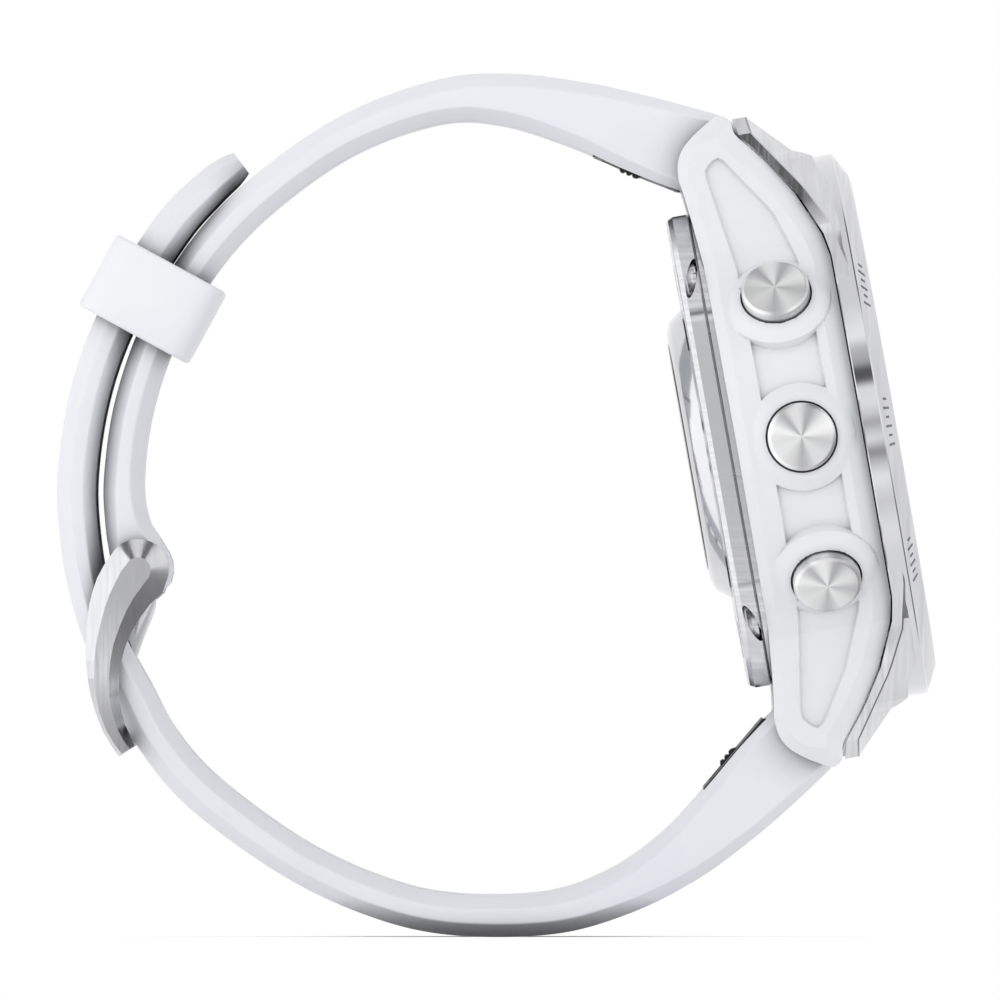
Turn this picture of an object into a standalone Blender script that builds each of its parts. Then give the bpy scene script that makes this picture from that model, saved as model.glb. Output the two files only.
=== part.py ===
"""GPS running watch, buckled into its worn loop, built as an assembly.

World axes, in metres: +X is the way the dial faces (the case leans back a little, so the dial
looks ten degrees up), +Z runs up toward 12 o'clock, and Y runs through the loop, with the
9 o'clock side (three buttons) on -Y. The loop stands on Z = 0.
Sizes below are in millimetres and are turned into metres when a mesh is made. The case parts
are drawn in the case's own axes: u outward from the dial, y as in the world, v to 12 o'clock.
"""

import math

import bmesh
import bpy
from mathutils import Matrix, Vector

MM = 0.001

# Where the case sits in the loop.
CASE_X, CASE_Z = 27.70, 39.10
CASE_LEAN = math.radians(10.05)

# Case and bezel.
BEZEL_R = 21.0
BEZEL_RIM = 1.55
BEZEL_TOP = 2.56
BEZEL_TOP_R = 18.97
BEZEL_BORE_R = 17.75
CASE_R = 20.6
CASE_FRONT_U = -0.10
CAVITY_R = 17.2
REAR_BORE_R = 15.3
LUG_INSIDE = 10.25
GAP_START_V = 18.6
PIN_U, PIN_V, PIN_R = -7.4, 22.2, 1.2

# Lens, rear cover and sensor.
LENS_R = 17.2
COVER_U, COVER_BACK_U = -9.55, -11.97
COVER_HALF_Y, COVER_HALF_V = 16.8, 18.25
SENSOR_R = 11.2
SENSOR_BACK_U = -13.45
SCREW_Y, SCREW_V = 13.3, 13.4

# Buttons: distance of the cap face from the case axis, and the cap.
BUTTON_U = -4.7
BUTTON_SIDE_V = 11.6
BUTTON_SIDE_Y = 18.6
BUTTON_MID_Y = 21.95
BUTTON_TURN = math.radians(38.0)
CAP_R, CAP_PROUD, CAP_THICK = 2.6, 1.0, 2.0
COLLAR_R = 3.8
POCKET_R, POCKET_DEPTH = 2.75, 3.4
STEM_R, STEM_END = 0.8, 5.6
SLEEVE_R = 1.5

# Straps, keeper and buckle.
STRAP_HALF_LUG, STRAP_HALF = 10.0, 9.0
ARC_X, ARC_Z = 2.0, 33.4
KEEPER_ANGLE = math.radians(151.5)
KEEPER_RADIUS = 32.4
KEEPER_LONG, KEEPER_THICK, KEEPER_HALF_Y = 6.2, 9.4, 10.95
KEEPER_WALL, KEEPER_SIDE_WALL = 1.15, 1.6
BAR_X, BAR_Z, BAR_R = -27.0, 28.3, 0.75
ARM_IN, ARM_OUT = 9.4, 11.2
END_BAR_X, END_BAR_Z, END_BAR_R = -28.45, 14.35, 0.7
SLOT_LONG, SLOT_WIDE, SLOT_PITCH = 5.8, 2.6, 7.5
CLEAR = 0.1

# Strap centre lines as (x, z, thickness, half width, bevel); a spline runs through them.
UPPER_LINE = [
    (18.9, 58.9, 2.8, 10.0, 0.5), (17.9, 59.2, 5.0, 10.0, 0.5), (16.3, 59.7, 6.3, 10.0, 0.6),
    (13.4, 60.6, 6.25, 9.95, 0.7), (10.4, 61.6, 5.85, 9.85, 0.8), (6.4, 62.9, 5.0, 9.7, 0.9),
    (0.8, 64.1, 3.95, 9.45, 1.0), (-4.5, 63.95, 3.3, 9.3, 1.0), (-11.4, 61.45, 3.05, 9.15, 1.0),
    (-17.6, 57.2, 3.0, 9.0, 1.0), (-22.15, 52.6, 3.0, 9.0, 1.0), (-25.75, 46.75, 2.95, 9.0, 1.0),
    (-27.85, 40.8, 2.95, 9.0, 1.0), (-28.65, 35.2, 3.0, 9.0, 1.0), (-28.4, 31.7, 3.3, 9.0, 0.9),
    (-27.75, 29.7, 4.1, 9.0, 0.8), (-27.25, 28.2, 4.7, 9.0, 0.8), (-27.0, 26.9, 3.9, 9.0, 0.7),
    (-26.9, 26.2, 2.2, 9.0, 0.5),
]
TAIL_LINE = [
    (25.65, 17.5, 2.8, 10.0, 0.5), (25.0, 16.85, 4.7, 10.0, 0.5), (23.9, 15.8, 6.0, 10.0, 0.6),
    (21.0, 12.9, 6.0, 9.95, 0.7), (17.7, 9.55, 5.3, 9.85, 0.8), (14.0, 6.3, 4.4, 9.7, 0.9),
    (9.4, 3.55, 3.6, 9.5, 1.0), (3.9, 1.85, 3.2, 9.3, 1.0), (-3.7, 1.77, 3.1, 9.15, 1.0),
    (-9.6, 3.2, 3.1, 9.0, 1.0), (-15.8, 6.15, 3.1, 9.0, 1.0), (-22.4, 10.95, 3.15, 9.0, 1.0),
    (-25.9, 14.9, 3.1, 9.0, 1.0), (-28.05, 18.8, 3.1, 9.0, 1.0), (-29.8, 22.1, 3.05, 9.0, 1.0),
    (-31.05, 25.6, 3.0, 9.0, 1.0), (-31.9, 29.7, 3.0, 9.0, 1.0), (-32.2, 35.2, 3.0, 9.0, 1.0),
    (-31.15, 41.9, 3.0, 9.0, 1.0), (-28.85, 48.0, 3.0, 9.0, 1.0), (-25.0, 54.2, 3.0, 9.0, 1.0),
    (-22.3, 57.15, 2.8, 8.2, 0.9), (-20.6, 58.6, 2.5, 6.4, 0.8), (-19.7, 59.3, 1.9, 4.2, 0.6),
]

WHITE = ("fibre_reinforced_polymer", (0.78, 0.79, 0.85), 0.45, 0.0)
STEEL = ("stainless_steel", (0.72, 0.72, 0.74), 0.28, 1.0)
SILICONE = ("silicone_rubber", (0.80, 0.81, 0.86), 0.6, 0.0)
GLASS = ("mineral_glass", (0.05, 0.05, 0.06), 0.05, 0.0)
BLACK = ("black_acetal", (0.03, 0.03, 0.035), 0.45, 0.0)
GASKET = ("black_gasket_rubber", (0.02, 0.02, 0.02), 0.7, 0.0)
BOARD = ("circuit_board", (0.03, 0.16, 0.08), 0.5, 0.0)
CELL = ("lithium_pouch_cell", (0.55, 0.56, 0.58), 0.4, 0.6)
DISPLAY = ("display_stack", (0.02, 0.025, 0.03), 0.3, 0.0)
GOLD = ("gold_plated_brass", (0.85, 0.62, 0.28), 0.25, 1.0)
SPRING = ("spring_steel", (0.5, 0.5, 0.52), 0.3, 1.0)


def material(spec):
    name, colour, roughness, metallic = spec
    mat = bpy.data.materials.get(name)
    if mat is None:
        mat = bpy.data.materials.new(name)
        mat.use_nodes = True
        shader = mat.node_tree.nodes["Principled BSDF"]
        shader.inputs["Base Color"].default_value = (*colour, 1.0)
        shader.inputs["Roughness"].default_value = roughness
        shader.inputs["Metallic"].default_value = metallic
    return mat


def add_object(name, bm, spec=None, parent=None, matrix=None, smooth=True):
    """Turn a millimetre bmesh into an object; edges over 35 degrees stay sharp."""
    bmesh.ops.recalc_face_normals(bm, faces=bm.faces)
    for face in bm.faces:
        face.smooth = smooth
    for edge in bm.edges:
        edge.smooth = smooth and edge.calc_face_angle(0.0) < math.radians(35.0)
    bmesh.ops.scale(bm, vec=(MM, MM, MM), verts=bm.verts)
    mesh = bpy.data.meshes.new(name)
    bm.to_mesh(mesh)
    bm.free()
    obj = bpy.data.objects.new(name, mesh)
    bpy.context.scene.collection.objects.link(obj)
    if spec is not None:
        mesh.materials.append(material(spec))
    if parent is not None:
        obj.parent = parent
    if matrix is not None:
        obj.matrix_local = matrix
    return obj


def place(x, y, z, axis=(1.0, 0.0, 0.0)):
    """A placement with its local +X along axis."""
    turn = Vector((1.0, 0.0, 0.0)).rotation_difference(Vector(axis)).to_matrix().to_4x4()
    return Matrix.Translation(Vector((x, y, z)) * MM) @ turn


def loft(bm, rings, closed_path=False):
    """Skin rings of equal point counts; the ends are capped unless the path closes."""
    loops = [[bm.verts.new(p) for p in ring] for ring in rings]
    pairs = list(zip(loops, loops[1:]))
    if closed_path:
        pairs.append((loops[-1], loops[0]))
    for a, b in pairs:
        for i in range(len(a)):
            j = (i + 1) % len(a)
            bm.faces.new((a[i], a[j], b[j], b[i]))
    if not closed_path:
        bm.faces.new(loops[0])
        bm.faces.new(loops[-1])


def lathe(bm, profile, segments=48, origin=(0.0, 0.0, 0.0)):
    """Turn a closed (height, radius) outline about the local X axis through origin.

    An outline that starts and ends on the axis makes a solid; any other makes a ring.
    """
    ox, oy, oz = origin
    solid = profile[0][1] < 1e-6 and profile[-1][1] < 1e-6
    points = profile[1:-1] if solid else profile
    rings = []
    for h, r in points:
        rings.append([(ox + h, oy + r * math.cos(2 * math.pi * k / segments),
                       oz + r * math.sin(2 * math.pi * k / segments)) for k in range(segments)])
    loft(bm, rings, closed_path=not solid)


def prism(bm, outline, start, end, plane):
    """Extrude an outline; plane "yv" extrudes along u, plane "uv" extrudes along y."""
    if plane == "yv":
        rings = [[(d, a, b) for a, b in outline] for d in (start, end)]
    else:
        rings = [[(a, d, b) for a, b in outline] for d in (start, end)]
    loft(bm, rings)


def box(bm, x0, x1, y0, y1, z0, z1):
    prism(bm, [(y0, z0), (y1, z0), (y1, z1), (y0, z1)], x0, x1, "yv")


def rod(bm, x, z, radius, y0, y1, segments=24):
    """A round bar along y."""
    ring = [(x + radius * math.cos(2 * math.pi * k / segments),
             z + radius * math.sin(2 * math.pi * k / segments)) for k in range(segments)]
    prism(bm, ring, y0, y1, "uv")


def boolean(obj, bm, operation, name, parent=None, matrix=None):
    """Add an exact boolean with a hidden cutter made from bm."""
    cutter = add_object(name, bm, None, parent, matrix, smooth=False)
    cutter.hide_render = True
    cutter.display_type = "WIRE"
    mod = obj.modifiers.new(name, "BOOLEAN")
    mod.operation = operation
    mod.solver = "EXACT"
    mod.object = cutter
    return cutter


def mirrored(half):
    """Close a half outline, listed from v = 0 up, with its mirror in v."""
    return half + [(a, -b) for a, b in reversed(half) if b > 1e-6]


def spline(points, step):
    """Catmull-Rom through rows of numbers, with samples about step apart in x, z."""
    rows = [points[0]] + list(points) + [points[-1]]
    out = []
    for a, b, c, d in zip(rows, rows[1:], rows[2:], rows[3:]):
        count = max(1, round(math.hypot(c[0] - b[0], c[1] - b[1]) / step))
        for k in range(count):
            t = k / count
            out.append([0.5 * (2 * q + (r - p) * t + (2 * p - 5 * q + 4 * r - s) * t * t
                               + (3 * q - p - 3 * r + s) * t ** 3)
                        for p, q, r, s in zip(a, b, c, d)])
    out.append(list(points[-1]))
    return out


def strap_rings(line, step=2.3):
    """Eight-sided strap sections along a centre line."""
    rows = spline(line, step)
    rings = []
    for i, (x, z, thick, half, bevel) in enumerate(rows):
        ahead, behind = rows[min(i + 1, len(rows) - 1)], rows[max(i - 1, 0)]
        along = Vector((ahead[0] - behind[0], ahead[1] - behind[1])).normalized()
        out = Vector((-along.y, along.x))
        h, in_y, in_n = thick / 2, bevel * 1.5, min(bevel, thick * 0.34)
        section = [(half, h - in_n), (half - in_y, h), (in_y - half, h), (-half, h - in_n),
                   (-half, in_n - h), (in_y - half, -h), (half - in_y, -h), (half, in_n - h)]
        rings.append([(x + out.x * n, y, z + out.y * n) for y, n in section])
    return rings


def line_point(line, x, z):
    """Index of the sample of a fine spline nearest to a point."""
    rows = spline(line, 0.25)
    return rows, min(range(len(rows)), key=lambda i: math.hypot(rows[i][0] - x, rows[i][1] - z))


def walk(rows, start, distance):
    """Index reached by going a signed distance along the samples."""
    i, step, gone = start, 1 if distance > 0 else -1, 0.0
    while gone < abs(distance) and 0 < i + step < len(rows) - 1:
        gone += math.hypot(rows[i + step][0] - rows[i][0], rows[i + step][1] - rows[i][1])
        i += step
    return i


for old in list(bpy.data.objects):
    bpy.data.objects.remove(old, do_unlink=True)

case_axes = bpy.data.objects.new("case_axes", None)
bpy.context.scene.collection.objects.link(case_axes)
case_axes.location = (CASE_X * MM, 0.0, CASE_Z * MM)
case_axes.rotation_euler = (0.0, -CASE_LEAN, 0.0)

# ---------------------------------------------------------------- case frame
half_outline = [(CASE_R * math.cos(math.radians(d)), CASE_R * math.sin(math.radians(d)))
                for d in (0, 6.4, 12.8, 19.2, 25.6, 32)]
half_outline += [(16.3, 12.75), (15.15, 14.9), (14.5, 17.6), (13.75, 25.6)]
quarter = half_outline + [(-a, b) for a, b in reversed(half_outline)]
front_outline = quarter + [(a, -b) for a, b in reversed(quarter) if b > 1e-6]

side_half = [(CASE_FRONT_U, 13.2), (-0.42, 14.95), (-1.93, 18.4), (-3.73, 21.2), (-5.75, 23.7),
             (-5.75, 24.75), (-6.62, 25.35), (-8.62, 24.2), (-9.76, 23.25), (-10.3, 22.3),
             (-10.48, 20.95), (-10.27, 19.9), (-10.08, 18.2), (-9.79, 14.8), (-9.45, 11.1)]
side_outline = side_half + [(a, -b) for a, b in reversed(side_half)]

bm = bmesh.new()
prism(bm, side_outline, -21.5, 21.5, "uv")
case_frame = add_object("case_frame", bm, WHITE, case_axes)
bm = bmesh.new()
prism(bm, front_outline, -12.0, 1.0, "yv")
boolean(case_frame, bm, "INTERSECT", "cut_front_outline", case_axes)

# Buttons: name, cap face centre (y, v) and the outward direction (y, v).
side_dir = (math.cos(BUTTON_TURN), math.sin(BUTTON_TURN))
buttons = [
    ("light", -BUTTON_SIDE_Y, BUTTON_SIDE_V, -side_dir[0], side_dir[1]),
    ("up_menu", -BUTTON_MID_Y, 0.0, -1.0, 0.0),
    ("down", -BUTTON_SIDE_Y, -BUTTON_SIDE_V, -side_dir[0], -side_dir[1]),
    ("start_stop", BUTTON_SIDE_Y, BUTTON_SIDE_V, side_dir[0], side_dir[1]),
    ("back_lap", BUTTON_SIDE_Y, -BUTTON_SIDE_V, side_dir[0], -side_dir[1]),
]
button_places = [(name, place(BUTTON_U, y, v, (0.0, dy, dv))) for name, y, v, dy, dv in buttons]

for operation, profile, label, segments in (
    ("UNION", [(-CAP_PROUD - 2.4, 0.0), (-CAP_PROUD - 2.4, COLLAR_R), (-CAP_PROUD - 0.35, COLLAR_R),
               (-CAP_PROUD, COLLAR_R - 0.35), (-CAP_PROUD, 0.0)], "add_collar", 20),
    ("DIFFERENCE", [(-8.0, 0.0), (-8.0, SLEEVE_R + 0.05), (-POCKET_DEPTH, SLEEVE_R + 0.05),
                    (-POCKET_DEPTH, POCKET_R), (1.0, POCKET_R), (1.0, 0.0)], "cut_button", 18),
):
    for name, matrix in button_places:
        bm = bmesh.new()
        lathe(bm, profile, segments)
        boolean(case_frame, bm, operation, label + "_" + name, case_axes, matrix)

bm = bmesh.new()
lathe(bm, [(2.0, 0.0), (2.0, CAVITY_R), (-7.8, CAVITY_R), (-7.8, REAR_BORE_R),
           (-12.0, REAR_BORE_R), (-12.0, 0.0)], 48)
boolean(case_frame, bm, "DIFFERENCE", "cut_cavity", case_axes)
bm = bmesh.new()
lathe(bm, [(-9.0, 15.85), (-9.0, 16.45), (-12.0, 16.45), (-12.0, 15.85)], 40)
boolean(case_frame, bm, "DIFFERENCE", "cut_gasket_groove", case_axes)
bm = bmesh.new()
for sign in (1, -1):
    v0, v1 = sorted((sign * GAP_START_V, sign * 30.0))
    box(bm, -13.0, 3.0, -LUG_INSIDE, LUG_INSIDE, v0, v1)
boolean(case_frame, bm, "DIFFERENCE", "cut_strap_gaps", case_axes)

cover_half = [(COVER_HALF_Y, 0.0), (COVER_HALF_Y, 10.8), (15.5, 13.6), (13.2, 16.4),
              (10.6, COVER_HALF_V)]
cover_quarter = cover_half + [(-a, b) for a, b in reversed(cover_half)]
cover_outline = cover_quarter + [(-a, -b) for a, b in cover_quarter if b > 1e-6]
grown = [(a * (1 + 0.15 / COVER_HALF_Y), b * (1 + 0.5 / COVER_HALF_V)) for a, b in cover_outline]
bm = bmesh.new()
prism(bm, grown, COVER_U + 0.1, -13.0, "yv")
boolean(case_frame, bm, "DIFFERENCE", "cut_cover_seat", case_axes)

screws = [(sy * SCREW_Y, sv * SCREW_V) for sv in (1, -1) for sy in (-1, 1)]
bm = bmesh.new()
for y, v in screws:
    lathe(bm, [(-6.0, 0.0), (-6.0, 0.8), (-12.0, 0.8), (-12.0, 0.0)], 10, (0.0, y, v))
boolean(case_frame, bm, "DIFFERENCE", "cut_screw_holes", case_axes)
bm = bmesh.new()
for sign in (1, -1):
    rod(bm, PIN_U, sign * PIN_V, PIN_R + 0.1, -12.4, 12.4)
boolean(case_frame, bm, "DIFFERENCE", "cut_lug_holes", case_axes)

# ---------------------------------------------------------------- bezel
arm = [(-5.62, 23.9), (-3.6, 21.25), (-1.8, 18.45), (-0.3, 15.0), (0.02, 13.2), (0.8, 13.0),
       (0.8, 20.5), (-0.05, 21.1), (-1.6, 21.6), (-2.7, 22.8), (-4.6, 24.75), (-5.62, 24.9)]
bm = bmesh.new()
prism(bm, arm, -21.5, 21.5, "uv")
prism(bm, [(a, -b) for a, b in arm], -21.5, 21.5, "uv")
bezel = add_object("bezel", bm, STEEL, case_axes)
bm = bmesh.new()
prism(bm, front_outline, -12.0, 1.0, "yv")
boolean(bezel, bm, "INTERSECT", "cut_bezel_outline", case_axes)
bm = bmesh.new()
lathe(bm, [(-3.0, 0.0), (-3.0, 19.4), (3.0, 19.4), (3.0, 0.0)], 48)
boolean(bezel, bm, "DIFFERENCE", "cut_bezel_inside", case_axes)
bm = bmesh.new()
for sign in (1, -1):
    v0, v1 = sorted((sign * (GAP_START_V - 2.0), sign * 30.0))
    box(bm, -13.0, 3.0, -LUG_INSIDE, LUG_INSIDE, v0, v1)
boolean(bezel, bm, "DIFFERENCE", "cut_bezel_gaps", case_axes)
bm = bmesh.new()
lathe(bm, [(0.0, BEZEL_BORE_R), (0.0, BEZEL_R), (BEZEL_RIM, BEZEL_R), (BEZEL_TOP, BEZEL_TOP_R),
           (BEZEL_TOP, 18.35), (2.2, BEZEL_BORE_R)], 64)
boolean(bezel, bm, "UNION", "add_bezel_ring", case_axes)


def turned(name, profile, spec, segments=40, origin=(0.0, 0.0, 0.0), parent=None, matrix=None):
    shape = bmesh.new()
    lathe(shape, profile, segments, origin)
    return add_object(name, shape, spec, parent or case_axes, matrix)


# ---------------------------------------------------------------- dial stack and inside
turned("lens_gasket", [(0.8, LENS_R + 0.1), (0.8, BEZEL_BORE_R - 0.1), (1.9, BEZEL_BORE_R - 0.1),
                       (1.9, LENS_R + 0.1)], GASKET)
turned("display_lens", [(0.85, 0.0), (0.85, LENS_R), (1.95, LENS_R), (2.1, LENS_R - 0.15),
                        (2.1, 0.0)], GLASS)
turned("display_panel", [(-0.5, 0.0), (-0.5, 16.8), (0.7, 16.8), (0.7, 0.0)], DISPLAY)
turned("display_tray", [(-1.0, 0.0), (-1.0, 17.0), (-0.6, 17.0), (-0.6, 0.0)], STEEL, 40)

bm = bmesh.new()
chord = [(15.9 * math.cos(math.radians(a)), 15.9 * math.sin(math.radians(a)))
         for a in range(-60, 241, 10)]
prism(bm, chord, -1.9, -1.1, "yv")
board = add_object("main_board", bm, BOARD, case_axes)
bm = bmesh.new()
for y0, y1, v0, v1, deep in ((-10, -4, 3, 9, 0.7), (-2, 4, 5, 11, 0.6), (6, 10, -2, 3, 0.6),
                             (-9, -5, -6, -2, 0.5), (-1, 2, -4, 1, 0.5)):
    box(bm, -1.9 - deep + 0.2, -1.5, y0, y1, v0, v1)
boolean(board, bm, "UNION", "add_chips", case_axes)

bm = bmesh.new()
cell = [(13.6 * math.cos(math.radians(a)), 13.6 * math.sin(math.radians(a)))
        for a in range(-38, 219, 8)]
prism(bm, cell, -6.6, -2.8, "yv")
add_object("battery", bm, CELL, case_axes)
turned("vibration_motor", [(-5.6, 0.0), (-5.6, 2.1), (-3.0, 2.1), (-3.0, 0.0)], STEEL, 24,
       (0.0, 0.0, -11.4))
turned("haptic_shoe", [(-2.85, 0.0), (-2.85, 2.4), (-2.15, 2.4), (-2.15, 0.0)], BLACK, 24,
       (0.0, 0.0, -11.4))
turned("inner_carrier", [(-7.6, 9.5), (-7.6, 16.9), (-6.8, 16.9), (-6.8, 14.2), (-2.1, 14.2),
                         (-2.1, 13.8), (-7.2, 13.8), (-7.2, 9.5)], BLACK, 32)

# ---------------------------------------------------------------- rear cover and sensor
bm = bmesh.new()
shrunk = [(a * 0.985, b * 0.985) for a, b in cover_outline]
loft(bm, [[(u, a, b) for a, b in ring] for u, ring in (
    (COVER_U, cover_outline), (-11.25, cover_outline), (-11.6, shrunk))])
cover = add_object("rear_cover", bm, STEEL, case_axes)
bm = bmesh.new()
lathe(bm, [(-11.0, 0.0), (-11.0, 14.9), (-11.85, 13.9), (COVER_BACK_U, SENSOR_R + 0.3),
           (COVER_BACK_U, 0.0)], 36)
boolean(cover, bm, "UNION", "add_cover_dome", case_axes)
bm = bmesh.new()
lathe(bm, [(-8.0, 0.0), (-8.0, SENSOR_R + 0.1), (-14.0, SENSOR_R + 0.1), (-14.0, 0.0)], 36)
boolean(cover, bm, "DIFFERENCE", "cut_sensor_hole", case_axes)
bm = bmesh.new()
for y, v in screws:
    lathe(bm, [(-9.0, 0.0), (-9.0, 0.8), (-10.25, 0.8), (-10.25, 1.5), (-13.0, 1.5),
               (-13.0, 0.0)], 12, (0.0, y, v))
boolean(cover, bm, "DIFFERENCE", "cut_head_seats", case_axes)
bm = bmesh.new()
for y, v in screws:
    y0, y1 = sorted((y, math.copysign(18.0, y)))
    box(bm, -11.1, -10.3, y0, y1, v - 1.25, v + 1.25)
boolean(cover, bm, "DIFFERENCE", "cut_side_windows", case_axes)
bm = bmesh.new()
box(bm, -13.0, -10.8, -3.3, 3.3, -15.9, -13.1)
box(bm, -10.4, -9.0, -2.6, 2.6, -15.4, -13.6)
boolean(cover, bm, "DIFFERENCE", "cut_charge_port", case_axes)

for index, (y, v) in enumerate(screws, 1):
    bm = bmesh.new()
    lathe(bm, [(-6.4, 0.0), (-6.4, 0.55), (-6.6, 0.7), (-10.35, 0.7), (-10.35, 1.35),
               (-11.1, 1.35), (-11.25, 1.2), (-11.25, 0.0)], 12, (0.0, y, v))
    screw = add_object("rear_screw_%d" % index, bm, STEEL, case_axes)
    bm = bmesh.new()
    lathe(bm, [(-10.75, 0.0), (-10.75, 0.6), (-12.0, 0.6), (-12.0, 0.0)], 6, (0.0, y, v))
    boolean(screw, bm, "DIFFERENCE", "cut_socket_%d" % index, case_axes)

turned("rear_gasket", [(-9.1, 15.95), (-9.1, 16.35), (-9.5, 16.35), (-9.5, 15.95)], GASKET)
turned("sensor_housing", [(-8.8, 9.0), (-8.8, 12.6), (-9.4, 12.6), (-9.4, SENSOR_R),
                          (-11.97, SENSOR_R), (-13.0, 10.35), (-13.3, 9.6), (-13.3, 9.0)],
       STEEL, 40)
turned("sensor_lens", [(-12.6, 0.0), (-12.6, 8.9), (-13.3, 8.9), (SENSOR_BACK_U, 8.7),
                       (SENSOR_BACK_U, 0.0)], GLASS, 36)
bm = bmesh.new()
lathe(bm, [(-10.9, 0.0), (-10.9, 8.6), (-11.6, 8.6), (-11.6, 0.0)], 28)
sensor_board = add_object("sensor_board", bm, BOARD, case_axes)
bm = bmesh.new()
for y, v in ((0, 0), (5, 0), (-5, 0), (0, 5), (0, -5)):
    box(bm, -12.3, -11.3, y - 1.2, y + 1.2, v - 1.2, v + 1.2)
boolean(sensor_board, bm, "UNION", "add_emitters", case_axes)

bm = bmesh.new()
box(bm, -11.6, -10.9, -3.2, 3.2, -15.8, -13.2)
block = add_object("charge_block", bm, BLACK, case_axes)
contacts = [(-2.1 + 1.4 * k, -14.5) for k in range(4)]
bm = bmesh.new()
for y, v in contacts:
    lathe(bm, [(-10.0, 0.0), (-10.0, 0.45), (-12.5, 0.45), (-12.5, 0.0)], 10, (0.0, y, v))
boolean(block, bm, "DIFFERENCE", "cut_contact_holes", case_axes)
for index, (y, v) in enumerate(contacts, 1):
    turned("charge_contact_%d" % index, [(-9.7, 0.0), (-9.7, 0.35), (-11.5, 0.35), (-11.5, 0.0)],
           GOLD, 10, (0.0, y, v))
bm = bmesh.new()
for y, v in contacts:
    lathe(bm, [(-9.0, 0.0), (-9.0, 0.45), (-11.0, 0.45), (-11.0, 0.0)], 10, (0.0, y, v))
boolean(cover, bm, "DIFFERENCE", "cut_contact_passages", case_axes)

# ---------------------------------------------------------------- buttons
for name, matrix in button_places:
    turned("button_" + name, [(-STEM_END, 0.0), (-STEM_END, STEM_R), (-CAP_THICK, STEM_R),
                              (-CAP_THICK, CAP_R), (-0.15, CAP_R), (0.0, CAP_R - 0.15),
                              (0.0, 0.0)], STEEL, 20, matrix=matrix)
    turned("sleeve_" + name, [(-POCKET_DEPTH - 1.2, STEM_R + 0.1), (-POCKET_DEPTH - 1.2, SLEEVE_R),
                              (-POCKET_DEPTH, SLEEVE_R), (-POCKET_DEPTH, STEM_R + 0.1)],
           BLACK, 14, matrix=matrix)
    coil = []
    turns, wire, mean = 2.0, 0.16, 1.9
    low, high = -POCKET_DEPTH + wire + 0.06, -CAP_THICK - wire - 0.06
    for k in range(int(turns * 11) + 1):
        f = k / (turns * 11)
        a = 2 * math.pi * turns * f
        centre = Vector((low + (high - low) * f, mean * math.cos(a), mean * math.sin(a)))
        out = Vector((0.0, math.cos(a), math.sin(a)))
        coil.append([centre + out * wire * math.cos(q) + Vector((wire * math.sin(q), 0.0, 0.0))
                     for q in (0.0, math.tau / 4, math.tau / 2, 3 * math.tau / 4)])
    bm = bmesh.new()
    loft(bm, coil)
    add_object("spring_" + name, bm, SPRING, case_axes, matrix)

# ---------------------------------------------------------------- lug pins
for name, sign in (("lug_pin_upper", 1), ("lug_pin_lower", -1)):
    bm = bmesh.new()
    rod(bm, 0.0, 0.0, PIN_R, -12.3, 12.3)
    add_object(name, bm, STEEL, case_axes, Matrix.Translation(Vector((PIN_U, 0, sign * PIN_V)) * MM))

# ---------------------------------------------------------------- straps
lean_cos, lean_sin = math.cos(CASE_LEAN), math.sin(CASE_LEAN)
pins = {sign: (CASE_X + PIN_U * lean_cos - sign * PIN_V * lean_sin,
               CASE_Z + PIN_U * lean_sin + sign * PIN_V * lean_cos) for sign in (1, -1)}
straps = {}
for name, line, sign in (("strap_upper", UPPER_LINE, 1), ("strap_lower", TAIL_LINE, -1)):
    bm = bmesh.new()
    loft(bm, strap_rings(line))
    straps[name] = add_object(name, bm, SILICONE)
    bm = bmesh.new()
    rod(bm, pins[sign][0], pins[sign][1], PIN_R + CLEAR, -12.0, 12.0)
    boolean(straps[name], bm, "DIFFERENCE", "cut_pin_hole_" + name)

bm = bmesh.new()
rod(bm, BAR_X, BAR_Z, BAR_R + CLEAR, -12.0, 12.0, 20)
boolean(straps["strap_upper"], bm, "DIFFERENCE", "cut_bar_hole")
bm = bmesh.new()
box(bm, -31.0, -22.5, -1.9, 1.9, 24.0, 30.6)
boolean(straps["strap_upper"], bm, "DIFFERENCE", "cut_tang_notch")

# Adjustment slots: one at the tang, the others a pitch apart along the tail.
rows, tang_at = line_point(TAIL_LINE, -28.55, 19.7)
bm = bmesh.new()
for number in range(-4, 6):
    i = walk(rows, tang_at, number * SLOT_PITCH) if number else tang_at
    along = Vector((rows[i + 1][0] - rows[i - 1][0], rows[i + 1][1] - rows[i - 1][1])).normalized()
    out = Vector((-along.y, along.x))
    racetrack = []
    for k in range(12):
        a = math.tau * (k + 0.5) / 12
        straight = math.copysign((SLOT_LONG - SLOT_WIDE) / 2, math.cos(a))
        racetrack.append((straight + SLOT_WIDE / 2 * math.cos(a), SLOT_WIDE / 2 * math.sin(a)))
    loft(bm, [[(rows[i][0] + along.x * s + out.x * n, y, rows[i][1] + along.y * s + out.y * n)
               for s, y in racetrack] for n in (-2.6, 2.6)])
boolean(straps["strap_lower"], bm, "DIFFERENCE", "cut_slots")

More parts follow.
